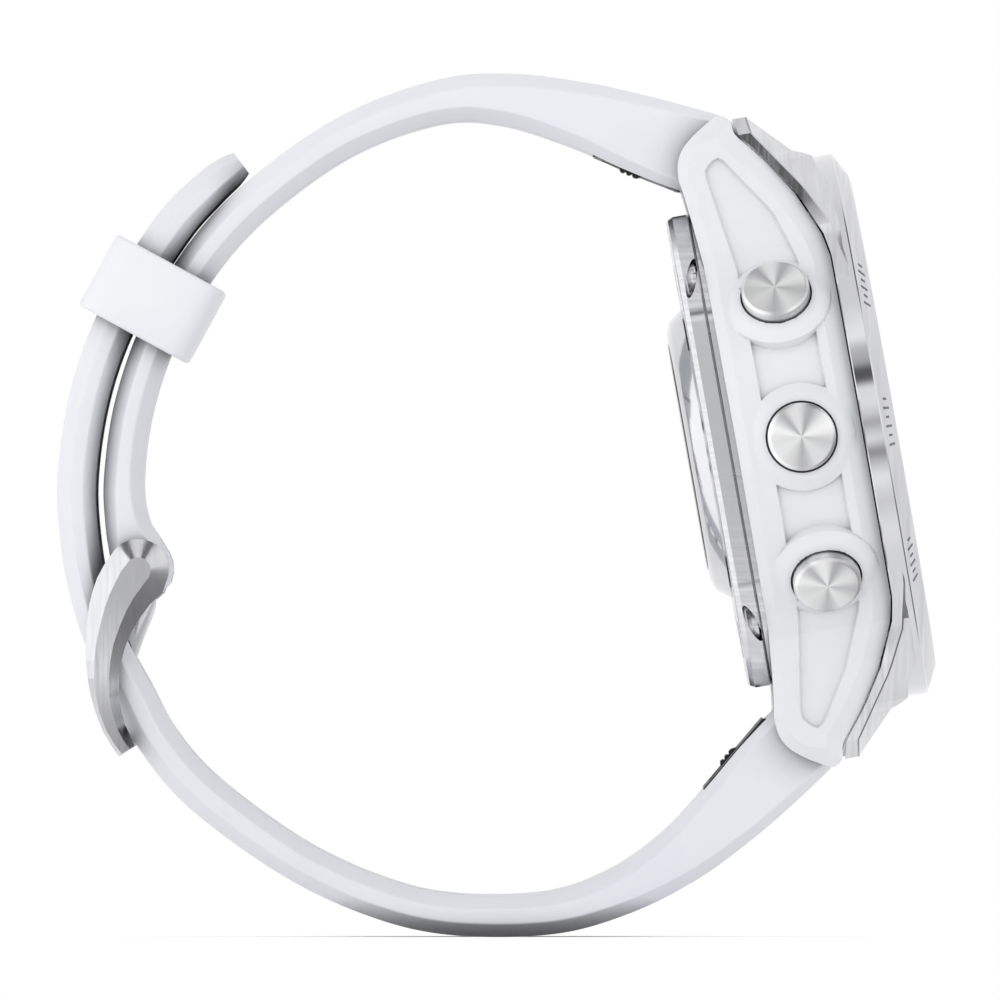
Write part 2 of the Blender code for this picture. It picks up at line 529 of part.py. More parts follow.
# ---------------------------------------------------------------- quick-release latches
# Each latch is drawn in its own axes: x along the strap away from the lug, z out of the
# strap's inner face, with the origin on that face at the latch's middle.
for name, strap, mid, tip in (
    ("upper", "strap_upper", (10.6, 58.52), (7.27, 59.9)),
    ("lower", "strap_lower", (18.05, 14.05), (16.08, 11.71)),
):
    along = Vector((tip[0] - mid[0], 0.0, tip[1] - mid[1])).normalized()
    centre = Vector((ARC_X, 0.0, ARC_Z)) - Vector((mid[0], 0.0, mid[1]))
    face_out = (centre - along * centre.dot(along)).normalized()
    side = face_out.cross(along)
    matrix = Matrix((along, side, face_out)).transposed().to_4x4()
    matrix.translation = Vector((mid[0], 0.0, mid[1])) * MM
    bm = bmesh.new()
    box(bm, -3.6, 3.6, -7.6, 7.6, -1.0, 3.0)
    boolean(straps[strap], bm, "DIFFERENCE", "cut_latch_pocket_" + name, None, matrix)
    bm = bmesh.new()
    box(bm, -3.5, 3.5, -7.5, 7.5, -0.9, 0.12)
    latch = add_object("latch_body_" + name, bm, BLACK, None, matrix)
    bm = bmesh.new()
    box(bm, -2.8, 2.8, -3.2, 3.2, -0.4, 2.0)
    boolean(latch, bm, "DIFFERENCE", "cut_slider_way_" + name, None, matrix)
    bm = bmesh.new()
    loft(bm, [[(x, y, z) for x, z in ((-2.7, -0.3), (1.4, -0.3), (1.4, 0.15), (1.1, 0.4),
                                      (-0.1, 0.4), (-0.5, 0.15), (-2.7, 0.1))]
              for y in (-3.1, 3.1)])
    add_object("latch_slider_" + name, bm, BLACK, None, matrix)

# ---------------------------------------------------------------- keeper
keeper_at = Vector((ARC_X + KEEPER_RADIUS * math.cos(KEEPER_ANGLE), 0.0,
                    ARC_Z + KEEPER_RADIUS * math.sin(KEEPER_ANGLE)))
radial = Vector((math.cos(KEEPER_ANGLE), 0.0, math.sin(KEEPER_ANGLE)))
tangent = Vector((math.sin(KEEPER_ANGLE), 0.0, -math.cos(KEEPER_ANGLE)))


def rounded(half_a, half_b, corner, steps=4):
    points = []
    for ca, cb, start in ((1, 1, 0), (-1, 1, 90), (-1, -1, 180), (1, -1, 270)):
        for k in range(steps + 1):
            q = math.radians(start + 90 * k / steps)
            points.append((ca * (half_a - corner) + corner * math.cos(q),
                           cb * (half_b - corner) + corner * math.sin(q)))
    return points


outer = (KEEPER_THICK / 2, KEEPER_HALF_Y, 1.6)
inner = (outer[0] - KEEPER_WALL, outer[1] - KEEPER_SIDE_WALL, 0.5)
bm = bmesh.new()
rings = []
for (half_a, half_b, corner), grow, s in (
    (outer, -0.5, -KEEPER_LONG / 2), (outer, 0.0, 0.6 - KEEPER_LONG / 2),
    (outer, 0.0, KEEPER_LONG / 2 - 0.6), (outer, -0.5, KEEPER_LONG / 2),
    (inner, 0.0, KEEPER_LONG / 2), (inner, 0.0, -KEEPER_LONG / 2),
):
    rings.append([keeper_at + radial * a + Vector((0.0, b, 0.0)) + tangent * s
                  for a, b in rounded(half_a + grow, half_b + grow, corner)])
pivot = Vector((ARC_X, 0.0, ARC_Z))
loft(bm, [[p - pivot for p in ring] for ring in rings], closed_path=True)
add_object("keeper", bm, SILICONE, None, Matrix.Translation(pivot * MM))

# ---------------------------------------------------------------- buckle
# The arm's side view: half widths either side of a curved centre line, under a round head.
arm_line = spline([(-1.1, -0.4, 1.9), (-2.75, -4.0, 1.7), (-3.25, -8.3, 1.4),
                   (-2.8, -10.7, 1.2), (-2.1, -13.0, 0.95), (-1.5, -14.0, 0.8)], 1.6)
left, right = [], []
for i, (x, z, half) in enumerate(arm_line):
    a, b = arm_line[min(i + 1, len(arm_line) - 1)], arm_line[max(i - 1, 0)]
    d = Vector((a[0] - b[0], a[1] - b[1])).normalized()
    left.append((x + d.y * half, z - d.x * half))
    right.append((x - d.y * half, z + d.x * half))
bar_matrix = Matrix.Translation(Vector((BAR_X, 0.0, BAR_Z)) * MM)
bm = bmesh.new()
prism(bm, left + right[::-1], -ARM_OUT, ARM_OUT, "uv")
buckle = add_object("buckle_frame", bm, STEEL, None, bar_matrix)
bm = bmesh.new()
rod(bm, 0.0, 0.0, 2.1, -ARM_OUT - 0.02, ARM_OUT + 0.02, 24)
boolean(buckle, bm, "UNION", "add_buckle_head", None, bar_matrix)
bm = bmesh.new()
box(bm, -8.0, 5.0, -ARM_IN, ARM_IN, -16.0, 5.0)
boolean(buckle, bm, "DIFFERENCE", "cut_buckle_window", None, bar_matrix)
bm = bmesh.new()
rod(bm, END_BAR_X - BAR_X, END_BAR_Z - BAR_Z, END_BAR_R, -ARM_OUT + 0.3, ARM_OUT - 0.3, 16)
boolean(buckle, bm, "UNION", "add_end_bar", None, bar_matrix)
bm = bmesh.new()
rod(bm, 0.0, 0.0, BAR_R + CLEAR, -10.95, 10.95, 20)
boolean(buckle, bm, "DIFFERENCE", "cut_bar_seats", None, bar_matrix)
bm = bmesh.new()
rod(bm, 0.0, 0.0, BAR_R, -10.85, 10.85, 20)
add_object("buckle_bar", bm, STEEL, None, bar_matrix)

tang_line = spline([(-0.2, -1.0, 0.75), (-0.35, -4.6, 0.6), (-1.45, -8.4, 0.55),
                    (-2.6, -11.3, 0.5), (-2.8, -13.2, 0.42), (-2.7, -13.9, 0.3)], 1.5)
left, right = [], []
for i, (x, z, half) in enumerate(tang_line):
    a, b = tang_line[min(i + 1, len(tang_line) - 1)], tang_line[max(i - 1, 0)]
    d = Vector((a[0] - b[0], a[1] - b[1])).normalized()
    left.append((x + d.y * half, z - d.x * half))
    right.append((x - d.y * half, z + d.x * half))
bm = bmesh.new()
prism(bm, left + right[::-1], -0.85, 0.85, "uv")
tang = add_object("buckle_tang", bm, STEEL, None, bar_matrix)
bm = bmesh.new()
rod(bm, 0.0, 0.0, 1.5, -1.6, 1.6, 20)
boolean(tang, bm, "UNION", "add_tang_eye", None, bar_matrix)
bm = bmesh.new()
rod(bm, 0.0, 0.0, BAR_R + CLEAR, -3.0, 3.0, 20)
boolean(tang, bm, "DIFFERENCE", "cut_tang_eye", None, bar_matrix)
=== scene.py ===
"""Looks of a GPS running watch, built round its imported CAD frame.

Everything is drawn in millimetres and becomes metres when a piece is made. Case parts are drawn in
the case's own axes: u outward from the dial, y through the loop, v toward 12 o'clock.
"""

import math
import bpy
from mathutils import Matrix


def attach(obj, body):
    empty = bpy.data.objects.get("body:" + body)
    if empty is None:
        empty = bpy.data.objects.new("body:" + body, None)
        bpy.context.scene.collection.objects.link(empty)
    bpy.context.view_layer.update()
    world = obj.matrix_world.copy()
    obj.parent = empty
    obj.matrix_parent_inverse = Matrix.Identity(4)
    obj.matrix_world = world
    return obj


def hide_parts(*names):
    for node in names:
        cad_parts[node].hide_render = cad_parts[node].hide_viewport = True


bl_info = {
    "name": "GPS running watch",
    "version": (1, 0, 0),
    "blender": (4, 5, 0),
    "location": "3D View > Sidebar > Watch",
    "description": "Builds the finished surfaces of a GPS running watch around its CAD frame",
    "category": "Add Mesh",
}

import bmesh
import bpy
import numpy as np
from bpy.props import FloatProperty, FloatVectorProperty, IntProperty, PointerProperty
from mathutils import Matrix, Vector

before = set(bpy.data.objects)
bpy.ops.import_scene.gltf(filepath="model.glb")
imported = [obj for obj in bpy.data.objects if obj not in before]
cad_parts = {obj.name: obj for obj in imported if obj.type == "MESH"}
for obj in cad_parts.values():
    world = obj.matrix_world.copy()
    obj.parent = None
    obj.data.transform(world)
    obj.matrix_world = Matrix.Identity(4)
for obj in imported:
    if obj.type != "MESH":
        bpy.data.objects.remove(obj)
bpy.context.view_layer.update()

MM = 0.001
HOME = "watch"

# ------------------------------------------------------------------ sizes shared with the CAD
CASE_X, CASE_Z, CASE_LEAN = 27.70, 39.10, math.radians(10.05)
CASE = (Matrix.Translation((CASE_X, 0.0, CASE_Z)) @ Matrix.Rotation(-CASE_LEAN, 4, "Y"))
CASE_R, CAVITY_R, REAR_BORE_R = 20.6, 17.2, 15.3
LUG_INSIDE, GAP_START_V = 10.25, 18.6
PIN_U, PIN_V, PIN_R = -7.4, 22.2, 1.2
BEZEL_R, BEZEL_RIM, BEZEL_TOP, BEZEL_TOP_R, BEZEL_BORE_R = 21.0, 1.55, 2.56, 18.97, 17.75
LENS_R = 17.2
SENSOR_R = 11.2
SCREW_Y, SCREW_V = 13.3, 13.4
BUTTON_U, BUTTON_SIDE_V, BUTTON_SIDE_Y, BUTTON_MID_Y = -4.7, 11.6, 18.6, 21.95
BUTTON_TURN = math.radians(38.0)
CAP_R, CAP_PROUD, CAP_THICK, POCKET_R, POCKET_DEPTH = 2.6, 1.0, 2.0, 2.75, 3.4
STEM_R, STEM_END = 0.8, 5.6
ARC_X, ARC_Z = 2.0, 33.4
KEEPER_ANGLE, KEEPER_RADIUS = math.radians(151.5), 32.4
KEEPER_LONG, KEEPER_THICK, KEEPER_HALF_Y = 6.2, 9.4, 10.95
KEEPER_WALL, KEEPER_SIDE_WALL, KEEPER_EDGE, KEEPER_CORNER = 1.15, 1.6, 0.3, 2.5
BAR_X, BAR_Z, BAR_R = -27.0, 28.3, 0.75
ARM_IN, ARM_OUT = 9.4, 11.2
SLOT_LONG, SLOT_WIDE, SLOT_PITCH = 5.8, 2.6, 7.5

SIDE_HALF = [(-0.10, 13.2), (-0.42, 14.95), (-1.93, 18.4), (-3.73, 21.2), (-5.75, 23.7),
             (-5.75, 24.75), (-6.62, 25.35), (-8.62, 24.2), (-9.76, 23.25), (-10.3, 22.3),
             (-10.48, 20.95), (-10.27, 19.9), (-10.08, 18.2), (-9.79, 14.8), (-9.45, 11.1)]
PANEL = [(-7.2, 22.1), (-8.35, 21.25), (-7.15, 13.2), (-7.1, 0.0), (-7.15, -13.2),
         (-8.35, -21.1), (-7.3, -22.05), (-6.7, -21.5), (-4.5, -17.9), (-2.75, -13.6),
         (-2.33, -8.0), (-2.33, 8.0), (-2.75, 13.6), (-3.9, 17.2)]
COVER_HALF = [(16.8, 0.0), (16.8, 10.8), (15.5, 13.6), (13.2, 16.4), (10.6, 18.25)]

UPPER_LINE = [
    (18.9, 58.9, 2.8, 10.0, 0.5), (17.9, 59.2, 5.0, 10.0, 0.5), (16.3, 59.7, 6.3, 10.0, 0.6),
    (13.4, 60.6, 6.25, 9.95, 0.7), (10.4, 61.6, 5.85, 9.85, 0.8), (6.4, 62.9, 5.0, 9.7, 0.9),
    (0.8, 64.1, 3.95, 9.45, 1.0), (-4.5, 63.95, 3.3, 9.3, 1.0), (-11.4, 61.45, 3.05, 9.15, 1.0),
    (-17.6, 57.2, 3.0, 9.0, 1.0), (-22.15, 52.6, 3.0, 9.0, 1.0), (-25.75, 46.75, 2.95, 9.0, 1.0),
    (-27.85, 40.8, 2.95, 9.0, 1.0), (-28.65, 35.2, 3.0, 9.0, 1.0), (-28.4, 31.7, 3.3, 9.0, 0.9),
    (-27.75, 29.7, 4.1, 9.0, 0.8), (-27.25, 28.2, 4.7, 9.0, 0.8), (-27.0, 26.9, 3.9, 9.0, 0.7),
    (-26.9, 26.2, 2.2, 9.0, 0.5),
]
TAIL_LINE = [
    (25.65, 17.5, 2.8, 10.0, 0.5), (25.0, 16.85, 4.7, 10.0, 0.5), (23.9, 15.8, 6.0, 10.0, 0.6),
    (21.0, 12.9, 6.0, 9.95, 0.7), (17.7, 9.55, 5.3, 9.85, 0.8), (14.0, 6.3, 4.4, 9.7, 0.9),
    (9.4, 3.55, 3.6, 9.5, 1.0), (3.9, 1.85, 3.2, 9.3, 1.0), (-3.7, 1.77, 3.1, 9.15, 1.0),
    (-9.6, 3.2, 3.1, 9.0, 1.0), (-15.8, 6.15, 3.1, 9.0, 1.0), (-22.4, 10.95, 3.15, 9.0, 1.0),
    (-25.9, 14.9, 3.1, 9.0, 1.0), (-28.05, 18.8, 3.1, 9.0, 1.0), (-29.8, 22.1, 3.05, 9.0, 1.0),
    (-31.05, 25.6, 3.0, 9.0, 1.0), (-31.9, 29.7, 3.0, 9.0, 1.0), (-32.2, 35.2, 3.0, 9.0, 1.0),
    (-31.15, 41.9, 3.0, 9.0, 1.0), (-28.85, 48.0, 3.0, 9.0, 1.0), (-25.0, 54.2, 3.0, 9.0, 1.0),
    (-22.3, 57.15, 2.8, 8.2, 0.9), (-20.6, 58.6, 2.5, 6.4, 0.8), (-19.7, 59.3, 1.9, 4.2, 0.6),
]
TANG_LINE = [(-0.1, -1.0, 0.85), (0.0, -2.9, 0.75), (-0.7, -5.0, 0.65), (-1.35, -7.2, 0.55),
             (-1.7, -8.6, 0.52), (-2.55, -11.3, 0.5), (-2.5, -12.8, 0.4), (-2.3, -13.25, 0.3)]


def linear(hex_text):
    """A colour from an sRGB hex text to the linear values the shaders use."""
    channels = [int(hex_text[i:i + 2], 16) / 255 for i in (1, 3, 5)]
    return [c / 12.92 if c <= 0.04045 else ((c + 0.055) / 1.055) ** 2.4 for c in channels]


# ------------------------------------------------------------------ settings a user would change
class WatchSizes(bpy.types.PropertyGroup):
    voxel: FloatProperty(
        name="Moulding detail", description="Grid spacing used to shape the moulded case",
        default=0.2 * MM, min=0.1 * MM, unit="LENGTH")
    case_bevel: FloatProperty(
        name="Case bevel", description="Width of the sloped band round the case's flanks",
        default=1.35 * MM, unit="LENGTH")
    panel_depth: FloatProperty(
        name="Panel depth", description="How far the flank panels are sunk",
        default=0.36 * MM, unit="LENGTH")
    strap_edge: FloatProperty(
        name="Strap edge radius", description="Rounding of the strap's moulded edges",
        default=0.14 * MM, unit="LENGTH")
    bezel_ticks: IntProperty(
        name="Minute marks", description="Number of marks round the dial", default=60, min=12)


class WatchColours(bpy.types.PropertyGroup):
    case: FloatVectorProperty(
        name="Case", description="Moulded polymer case", subtype="COLOR",
        default=linear("#E5E6E8"))
    strap: FloatVectorProperty(
        name="Strap", description="Silicone strap halves", subtype="COLOR",
        default=linear("#E6E7EB"))
    keeper: FloatVectorProperty(
        name="Keeper", description="Silicone keeper loop", subtype="COLOR",
        default=linear("#EAEBEE"))
    steel: FloatVectorProperty(
        name="Steel", description="Stainless steel of the bezel, buckle and buttons",
        subtype="COLOR", default=linear("#D6D6D8"))
    dial: FloatVectorProperty(
        name="Dial", description="Background of the display", subtype="COLOR",
        default=linear("#11151C"))


# ------------------------------------------------------------------ materials
def join(tree, node, inputs=None, links=None):
    """Set a node's own input values and link its other inputs."""
    for key, value in (inputs or {}).items():
        node.inputs[key].default_value = value
    for key, source in (links or {}).items():
        tree.links.new(source, node.inputs[key])
    return node


def add(tree, kind, settings=None, inputs=None, links=None):
    """Add one node with its settings, its input values and its links."""
    node = tree.nodes.new(kind)
    for key, value in (settings or {}).items():
        setattr(node, key, value)
    return join(tree, node, inputs, links)


def tinted(tree, place, colour, shade, millimetres):
    """Colour that drifts between colour and colour times shade over patches of that size."""
    patches = add(tree, "ShaderNodeTexNoise", inputs={"Scale": 1.0 / (millimetres * MM),
                                                      "Detail": 3.0}, links={"Vector": place})
    spread = add(tree, "ShaderNodeMapRange", inputs={"From Min": 0.35, "From Max": 0.65},
                 links={"Value": patches.outputs["Fac"]})
    darker = [c * s for c, s in zip(colour, shade)]
    return add(tree, "ShaderNodeMix", {"data_type": "RGBA"},
               {"A": (*colour, 1.0), "B": (*darker, 1.0)},
               {"Factor": spread.outputs["Result"]}).outputs["Result"]


def grained(tree, place, millimetres, detail, strength, depth):
    """Normal of a fine surface grain with that spacing and depth in mm."""
    grain = add(tree, "ShaderNodeTexNoise", inputs={"Scale": 1.0 / (millimetres * MM),
                                                    "Detail": detail}, links={"Vector": place})
    return add(tree, "ShaderNodeBump", inputs={"Strength": strength, "Distance": depth * MM},
               links={"Height": grain.outputs["Fac"]}).outputs["Normal"]


# Light strips of the room, as (degrees, brightness). Dark strips stand for black flags, which give
# polished edges their shape.
ROOM_AROUND = [(-180, 1.4), (-130, 1.25), (-105, 1.05), (-74, 1.0), (-62, 0.3), (-28, 0.26),
               (-12, 0.38), (0, 0.6), (8, 1.0), (40, 1.05), (54, 0.9), (60, 0.18), (72, 0.18),
               (80, 0.85), (92, 1.0), (104, 0.85), (111, 0.2), (124, 0.2), (132, 1.3), (180, 1.4)]
ROOM_AHEAD = [(-180, 1.1), (-45, 1.1), (-33, 0.85), (-28, 1.0), (-22, 1.2), (-16, 0.8),
              (-11, 0.3), (-6, 1.1), (-2, 0.8), (1, 0.5), (4, 0.85), (9, 1.1), (16, 1.1),
              (18.5, 0.12), (23.5, 0.1), (26, 0.55), (33, 0.7), (37, 1.35), (180, 1.35)]
# Painted reflection: brightness of a spun face's colour by angle round it, from the dial side.
PAINTED_SPUN_FANS = [(-180, 0.57), (-150, 0.75), (-120, 0.53), (-100, 0.11), (-90, 0.22), (-70, 0.7),
             (-50, 0.63), (-20, 0.25), (-10, 0.42), (0, 0.72), (15, 0.93), (35, 0.75), (50, 0.32),
             (60, 0.02), (70, 0.11), (80, 0.6), (90, 0.84), (105, 0.74), (120, 0.03),
             (130, 0.22), (150, 0.86), (160, 0.83), (170, 0.62), (180, 0.57)]


def strip_light(tree, radians, stops):
    """Brightness by angle, from rows of degrees and brightness."""
    share = add(tree, "ShaderNodeMapRange", inputs={"From Min": -math.pi, "From Max": math.pi},
                links={"Value": radians})
    ramp = add(tree, "ShaderNodeValToRGB", links={"Fac": share.outputs["Result"]})
    brightest = max(value for _, value in stops)
    elements = ramp.color_ramp.elements
    for index, (degrees, value) in enumerate(stops):
        at = (degrees + 180) / 360
        stop = elements[index] if index < 2 else elements.new(at)
        stop.position = at
        stop.color = (value / brightest,) * 3 + (1.0,)
    return add(tree, "ShaderNodeMath", {"operation": "MULTIPLY"}, {1: brightest},
               {0: ramp.outputs["Color"]}).outputs["Value"]


def painted_shade(tree, colour, millimetres, deepest):
    """Painted shade: a colour darkened in seams and gaps up to that wide, by occlusion."""
    # Painted shade: the base colour is scaled down where ambient occlusion finds surfaces near.
    open_sky = add(tree, "ShaderNodeAmbientOcclusion", {"samples": 6},
                   {"Distance": millimetres * MM})
    spread = add(tree, "ShaderNodeMapRange", inputs={"From Min": 0.1, "From Max": 0.85,
                                                     "To Min": deepest},
                 links={"Value": open_sky.outputs["AO"]})
    dim = add(tree, "ShaderNodeVectorMath", {"operation": "SCALE"},
              links={0: colour, "Scale": spread.outputs["Result"]})
    return dim.outputs["Vector"]


def moulded_polymer(tree, shader, place):
    # Fibre-reinforced polymer, injection moulded in an etched tool: satin, cool white, with a
    # fine grain that breaks up the highlights. The real grain is 0.05 mm; 0.16 mm shows here.
    tint = tinted(tree, place, bpy.context.scene.watch_colours.case, (0.975, 0.975, 0.985), 7.0)
    # The colour carries painted shade in seams and gaps, down to 0.38 of itself.
    join(tree, shader, {"Roughness": 0.42, "IOR": 1.53},
         {"Base Color": painted_shade(tree, tint, 1.1, 0.38),
          "Normal": grained(tree, place, 0.16, 2.0, 0.10, 0.02)})


def moulded_silicone(colour_name, roughness):
    def build(tree, shader, place):
        # Silicone rubber, compression moulded: soft, slightly translucent and nearly even, with a
        # dry dusty sheen from the blasted mould.
        colour = getattr(bpy.context.scene.watch_colours, colour_name)
        tint = tinted(tree, place, colour, (0.97, 0.97, 0.985), 9.0)
        # Painted shade: the colour darkens strongly in seams and gaps, down to 0.06 of itself.
        join(tree, shader,
             {"Roughness": roughness, "IOR": 1.41, "Subsurface Weight": 0.04,
              "Subsurface Radius": (1.0, 0.9, 0.9), "Subsurface Scale": 0.8 * MM,
              "Sheen Weight": 0.08},
             {"Base Color": painted_shade(tree, tint, 3.4, 0.06),
              "Normal": grained(tree, place, 0.22, 2.0, 0.08, 0.02)})
    return build


def brushed_steel(stretch, roughness, depth, streak=0.45):
    def build(tree, shader, place):
        # Stainless steel, brushed with a 240 grit belt: fine parallel scratches that smear the
        # reflections across the grain. stretch gives the scratch spacing in mm along X, Y and Z.
        scaled = add(tree, "ShaderNodeMapping",
                     inputs={"Scale": [1.0 / (apart * MM) for apart in stretch]},
                     links={"Vector": place}).outputs["Vector"]
        lines = add(tree, "ShaderNodeTexNoise", inputs={"Scale": 1.0, "Detail": 4.0},
                    links={"Vector": scaled}).outputs["Fac"]
        rough = add(tree, "ShaderNodeMapRange",
                    inputs={"From Min": 0.3, "From Max": 0.7, "To Min": roughness - 0.06,
                            "To Max": roughness + 0.08}, links={"Value": lines})
        relief = add(tree, "ShaderNodeBump", inputs={"Strength": 0.35, "Distance": depth * MM},
                     links={"Height": lines})
        steel = bpy.context.scene.watch_colours.steel
        join(tree, shader, {"Metallic": 1.0, "Anisotropic": streak},
             {"Base Color": tinted(tree, scaled, steel, (0.9, 0.9, 0.91), 1000.0),
              "Roughness": rough.outputs["Result"], "Normal": relief.outputs["Normal"]})
    return build


def polished_steel(tree, shader, place):
    # Stainless steel, machine polished: mirror-like with very faint cloudy buffing marks.
    clouds = add(tree, "ShaderNodeTexNoise", inputs={"Scale": 1.0 / (3.0 * MM), "Detail": 4.0},
                 links={"Vector": place})
    rough = add(tree, "ShaderNodeMapRange", inputs={"To Min": 0.06, "To Max": 0.14},
                links={"Value": clouds.outputs["Fac"]})
    steel = bpy.context.scene.watch_colours.steel
    join(tree, shader, {"Metallic": 1.0},
         {"Base Color": tinted(tree, place, steel, (0.95, 0.95, 0.96), 4.0),
          "Roughness": rough.outputs["Result"]})


def spun_steel(tree, shader, place):
    # Stainless steel cap, faced on a lathe: rings 0.09 mm apart about the button's own axis. They
    # spread the light into bright and dull fans that meet in the middle of the face; the fans are
    # also painted into the colour as a painted reflection.
    apart = add(tree, "ShaderNodeSeparateXYZ", links={"Vector": place})
    flat = add(tree, "ShaderNodeCombineXYZ",
               links={"X": apart.outputs["Y"], "Y": apart.outputs["Z"]})
    radius = add(tree, "ShaderNodeVectorMath", {"operation": "LENGTH"},
                 links={"Vector": flat.outputs["Vector"]})
    rings = add(tree, "ShaderNodeTexNoise", {"noise_dimensions": "1D"},
                {"Scale": 1.0 / (0.09 * MM), "Detail": 2.0}, {"W": radius.outputs["Value"]})
    relief = add(tree, "ShaderNodeBump", inputs={"Strength": 0.25, "Distance": 0.004 * MM},
                 links={"Height": rings.outputs["Fac"]})
    turn = add(tree, "ShaderNodeMath", {"operation": "ARCTAN2"},
               links={0: apart.outputs["Z"], 1: apart.outputs["Y"]})
    # Painted reflection: the colour runs from grey to white in fans by angle round the axis.
    painted_reflection = add(tree, "ShaderNodeMix", {"data_type": "RGBA"},
               {"A": (*linear("#BCBCBE"), 1.0), "B": (*linear("#FFFFFF"), 1.0)},
               {"Factor": strip_light(tree, turn.outputs["Value"], PAINTED_SPUN_FANS)})
    tangent = add(tree, "ShaderNodeTangent", {"direction_type": "RADIAL", "axis": "X"})
    join(tree, shader, {"Metallic": 1.0, "Roughness": 0.4, "Anisotropic": 0.5,
                        "Anisotropic Rotation": 0.25},
         {"Base Color": painted_reflection.outputs["Result"], "Tangent": tangent.outputs["Tangent"],
          "Normal": relief.outputs["Normal"]})


def plain_moulding(hex_text, roughness, metallic=0.0, grain=0.3):
    def build(tree, shader, place):
        # Small parts: a moulded, cast or plated surface with its grain at the given size.
        join(tree, shader, {"Metallic": metallic, "Roughness": roughness},
             {"Base Color": tinted(tree, place, linear(hex_text), (0.85, 0.85, 0.87), 2.0),
              "Normal": grained(tree, place, grain, 3.0, 0.15, 0.01)})
    return build


def cover_glass(tree, shader, place):
    # Strengthened mineral glass, polished both sides, over a dark display.
    smears = add(tree, "ShaderNodeTexNoise", inputs={"Scale": 1.0 / (5.0 * MM), "Detail": 2.0},
                 links={"Vector": place})
    rough = add(tree, "ShaderNodeMapRange", inputs={"To Min": 0.0, "To Max": 0.04},
                links={"Value": smears.outputs["Fac"]})
    join(tree, shader, {"IOR": 1.51, "Transmission Weight": 1.0,
                        "Base Color": (*linear("#FCFDFD"), 1.0)},
         {"Roughness": rough.outputs["Result"]})


def sensor_glass(tree, shader, _):
    # Tinted sensor window, vacuum coated: nearly black from straight on. Its rose and grey
    # reflections at a slant are painted into the colour by facing angle, over a real clear coat.
    facing = add(tree, "ShaderNodeLayerWeight", inputs={"Blend": 0.35})
    # Painted reflection: the colour turns rose toward a slant.
    painted_reflection = add(tree, "ShaderNodeMix", {"data_type": "RGBA"},
               {"A": (*linear("#151417"), 1.0), "B": (*linear("#7A6A6A"), 1.0)},
               {"Factor": facing.outputs["Facing"]})
    join(tree, shader, {"Roughness": 0.06, "IOR": 1.6, "Coat Weight": 0.6},
         {"Base Color": painted_reflection.outputs["Result"]})


FINISHES = {
    "fibre_polymer_moulded": moulded_polymer,
    "silicone_rubber_moulded": moulded_silicone("strap", 0.46),
    "silicone_rubber_keeper": moulded_silicone("keeper", 0.36),
    "stainless_steel_brushed_round": brushed_steel((0.3, 9.0, 9.0), 0.22, 0.002),
    "stainless_steel_brushed_long": brushed_steel((0.2, 6.0, 6.0), 0.2, 0.0015),
    "stainless_steel_brushed_across": brushed_steel((9.0, 9.0, 0.3), 0.2, 0.0006, 0.3),
    "stainless_steel_polished": polished_steel,
    "stainless_steel_satin": brushed_steel((0.3, 5.0, 5.0), 0.13, 0.0006, 0.15),
    "stainless_steel_spun": spun_steel,
    "mineral_glass_polished": cover_glass,
    "sensor_glass_coated": sensor_glass,
    # Acetal, injection moulded: dense black with a low, waxy sheen.
    "acetal_black_moulded": plain_moulding("#17181A", 0.45),
    # Nitrile rubber, compression moulded: dull black.
    "gasket_rubber_moulded": plain_moulding("#0E0E10", 0.75),
    # Display under its laminated film: near-black blue, smooth.
    "display_film": plain_moulding("#11151C", 0.25, grain=0.1),
    # Marks as screen-printed ink: flat and even.
    "display_ink_white": plain_moulding("#E8EAEE", 0.5, grain=0.1),
    "display_ink_blue": plain_moulding("#3FA4D8", 0.5, grain=0.1),
    # Glass-fibre board under solder mask: deep green, half gloss, with the weave just showing.
    "circuit_board_mask": plain_moulding("#0F5A33", 0.4, grain=0.5),
    # Aluminium laminate pouch, pressed: pale grey, softly crinkled.
    "pouch_cell_foil": plain_moulding("#B9BCC2", 0.35, 0.7, 1.2),
    # Gold plate over nickel: warm and bright.
    "gold_plated_contact": plain_moulding("#E2B661", 0.25, 1.0, 0.1),
    # Drawn spring steel wire: bright, with fine draw marks.
    "spring_wire_drawn": plain_moulding("#9A9BA0", 0.3, 1.0, 0.1),
    # Grey enamel, fired into the marks: matt against the steel.
    "bezel_mark_enamel": plain_moulding("#6E7076", 0.5, grain=0.1),
}


def finish_of(name):
    """The material of that name, built on first use."""
    mat = bpy.data.materials.get(name)
    if mat is None:
        mat = bpy.data.materials.new(name)
        mat.use_nodes = True
        tree = mat.node_tree
        place = add(tree, "ShaderNodeTexCoord").outputs["Object"]
        FINISHES[name](tree, tree.nodes["Principled BSDF"], place)
    return mat


# ------------------------------------------------------------------ mesh helpers, in millimetres
def loft(rings, closed_path=False, rungs=False, bm=None):
    """Skin rings of equal point counts; the ends are capped unless the path closes.

    rungs caps them with strips across, for an end that is not flat. bm adds to earlier work."""
    bm = bmesh.new() if bm is None else bm
    loops = [[bm.verts.new(p) for p in ring] for ring in rings]
    for a, b in zip(loops, loops[1:] + loops[:1] if closed_path else loops[1:]):
        for i in range(len(a)):
            j = (i + 1) % len(a)
            bm.faces.new((a[i], a[j], b[j], b[i]))
    if not closed_path:
        for end in (loops[0], loops[-1]):
            caps = [(end[i], end[i + 1], end[-2 - i], end[-1 - i])
                    for i in range(len(end) // 2 - 1)] if rungs else [end]
            for cap in caps:
                bm.faces.new(cap)
    return bm


def softened(points, radius, steps=3):
    """A closed outline with each corner swung through a small curve."""
    out = []
    for before, p, after in zip(points[-1:] + points, points, points[1:] + points[:1]):
        here = Vector(p)
        back, on = Vector(before) - here, Vector(after) - here
        reach = min(radius, back.length * 0.45, on.length * 0.45)
        start, end = here + back.normalized() * reach, here + on.normalized() * reach
        for k in range(steps + 1):
            t = k / steps
            out.append(tuple(start * (1 - t) ** 2 + here * 2 * t * (1 - t) + end * t * t))
    return out


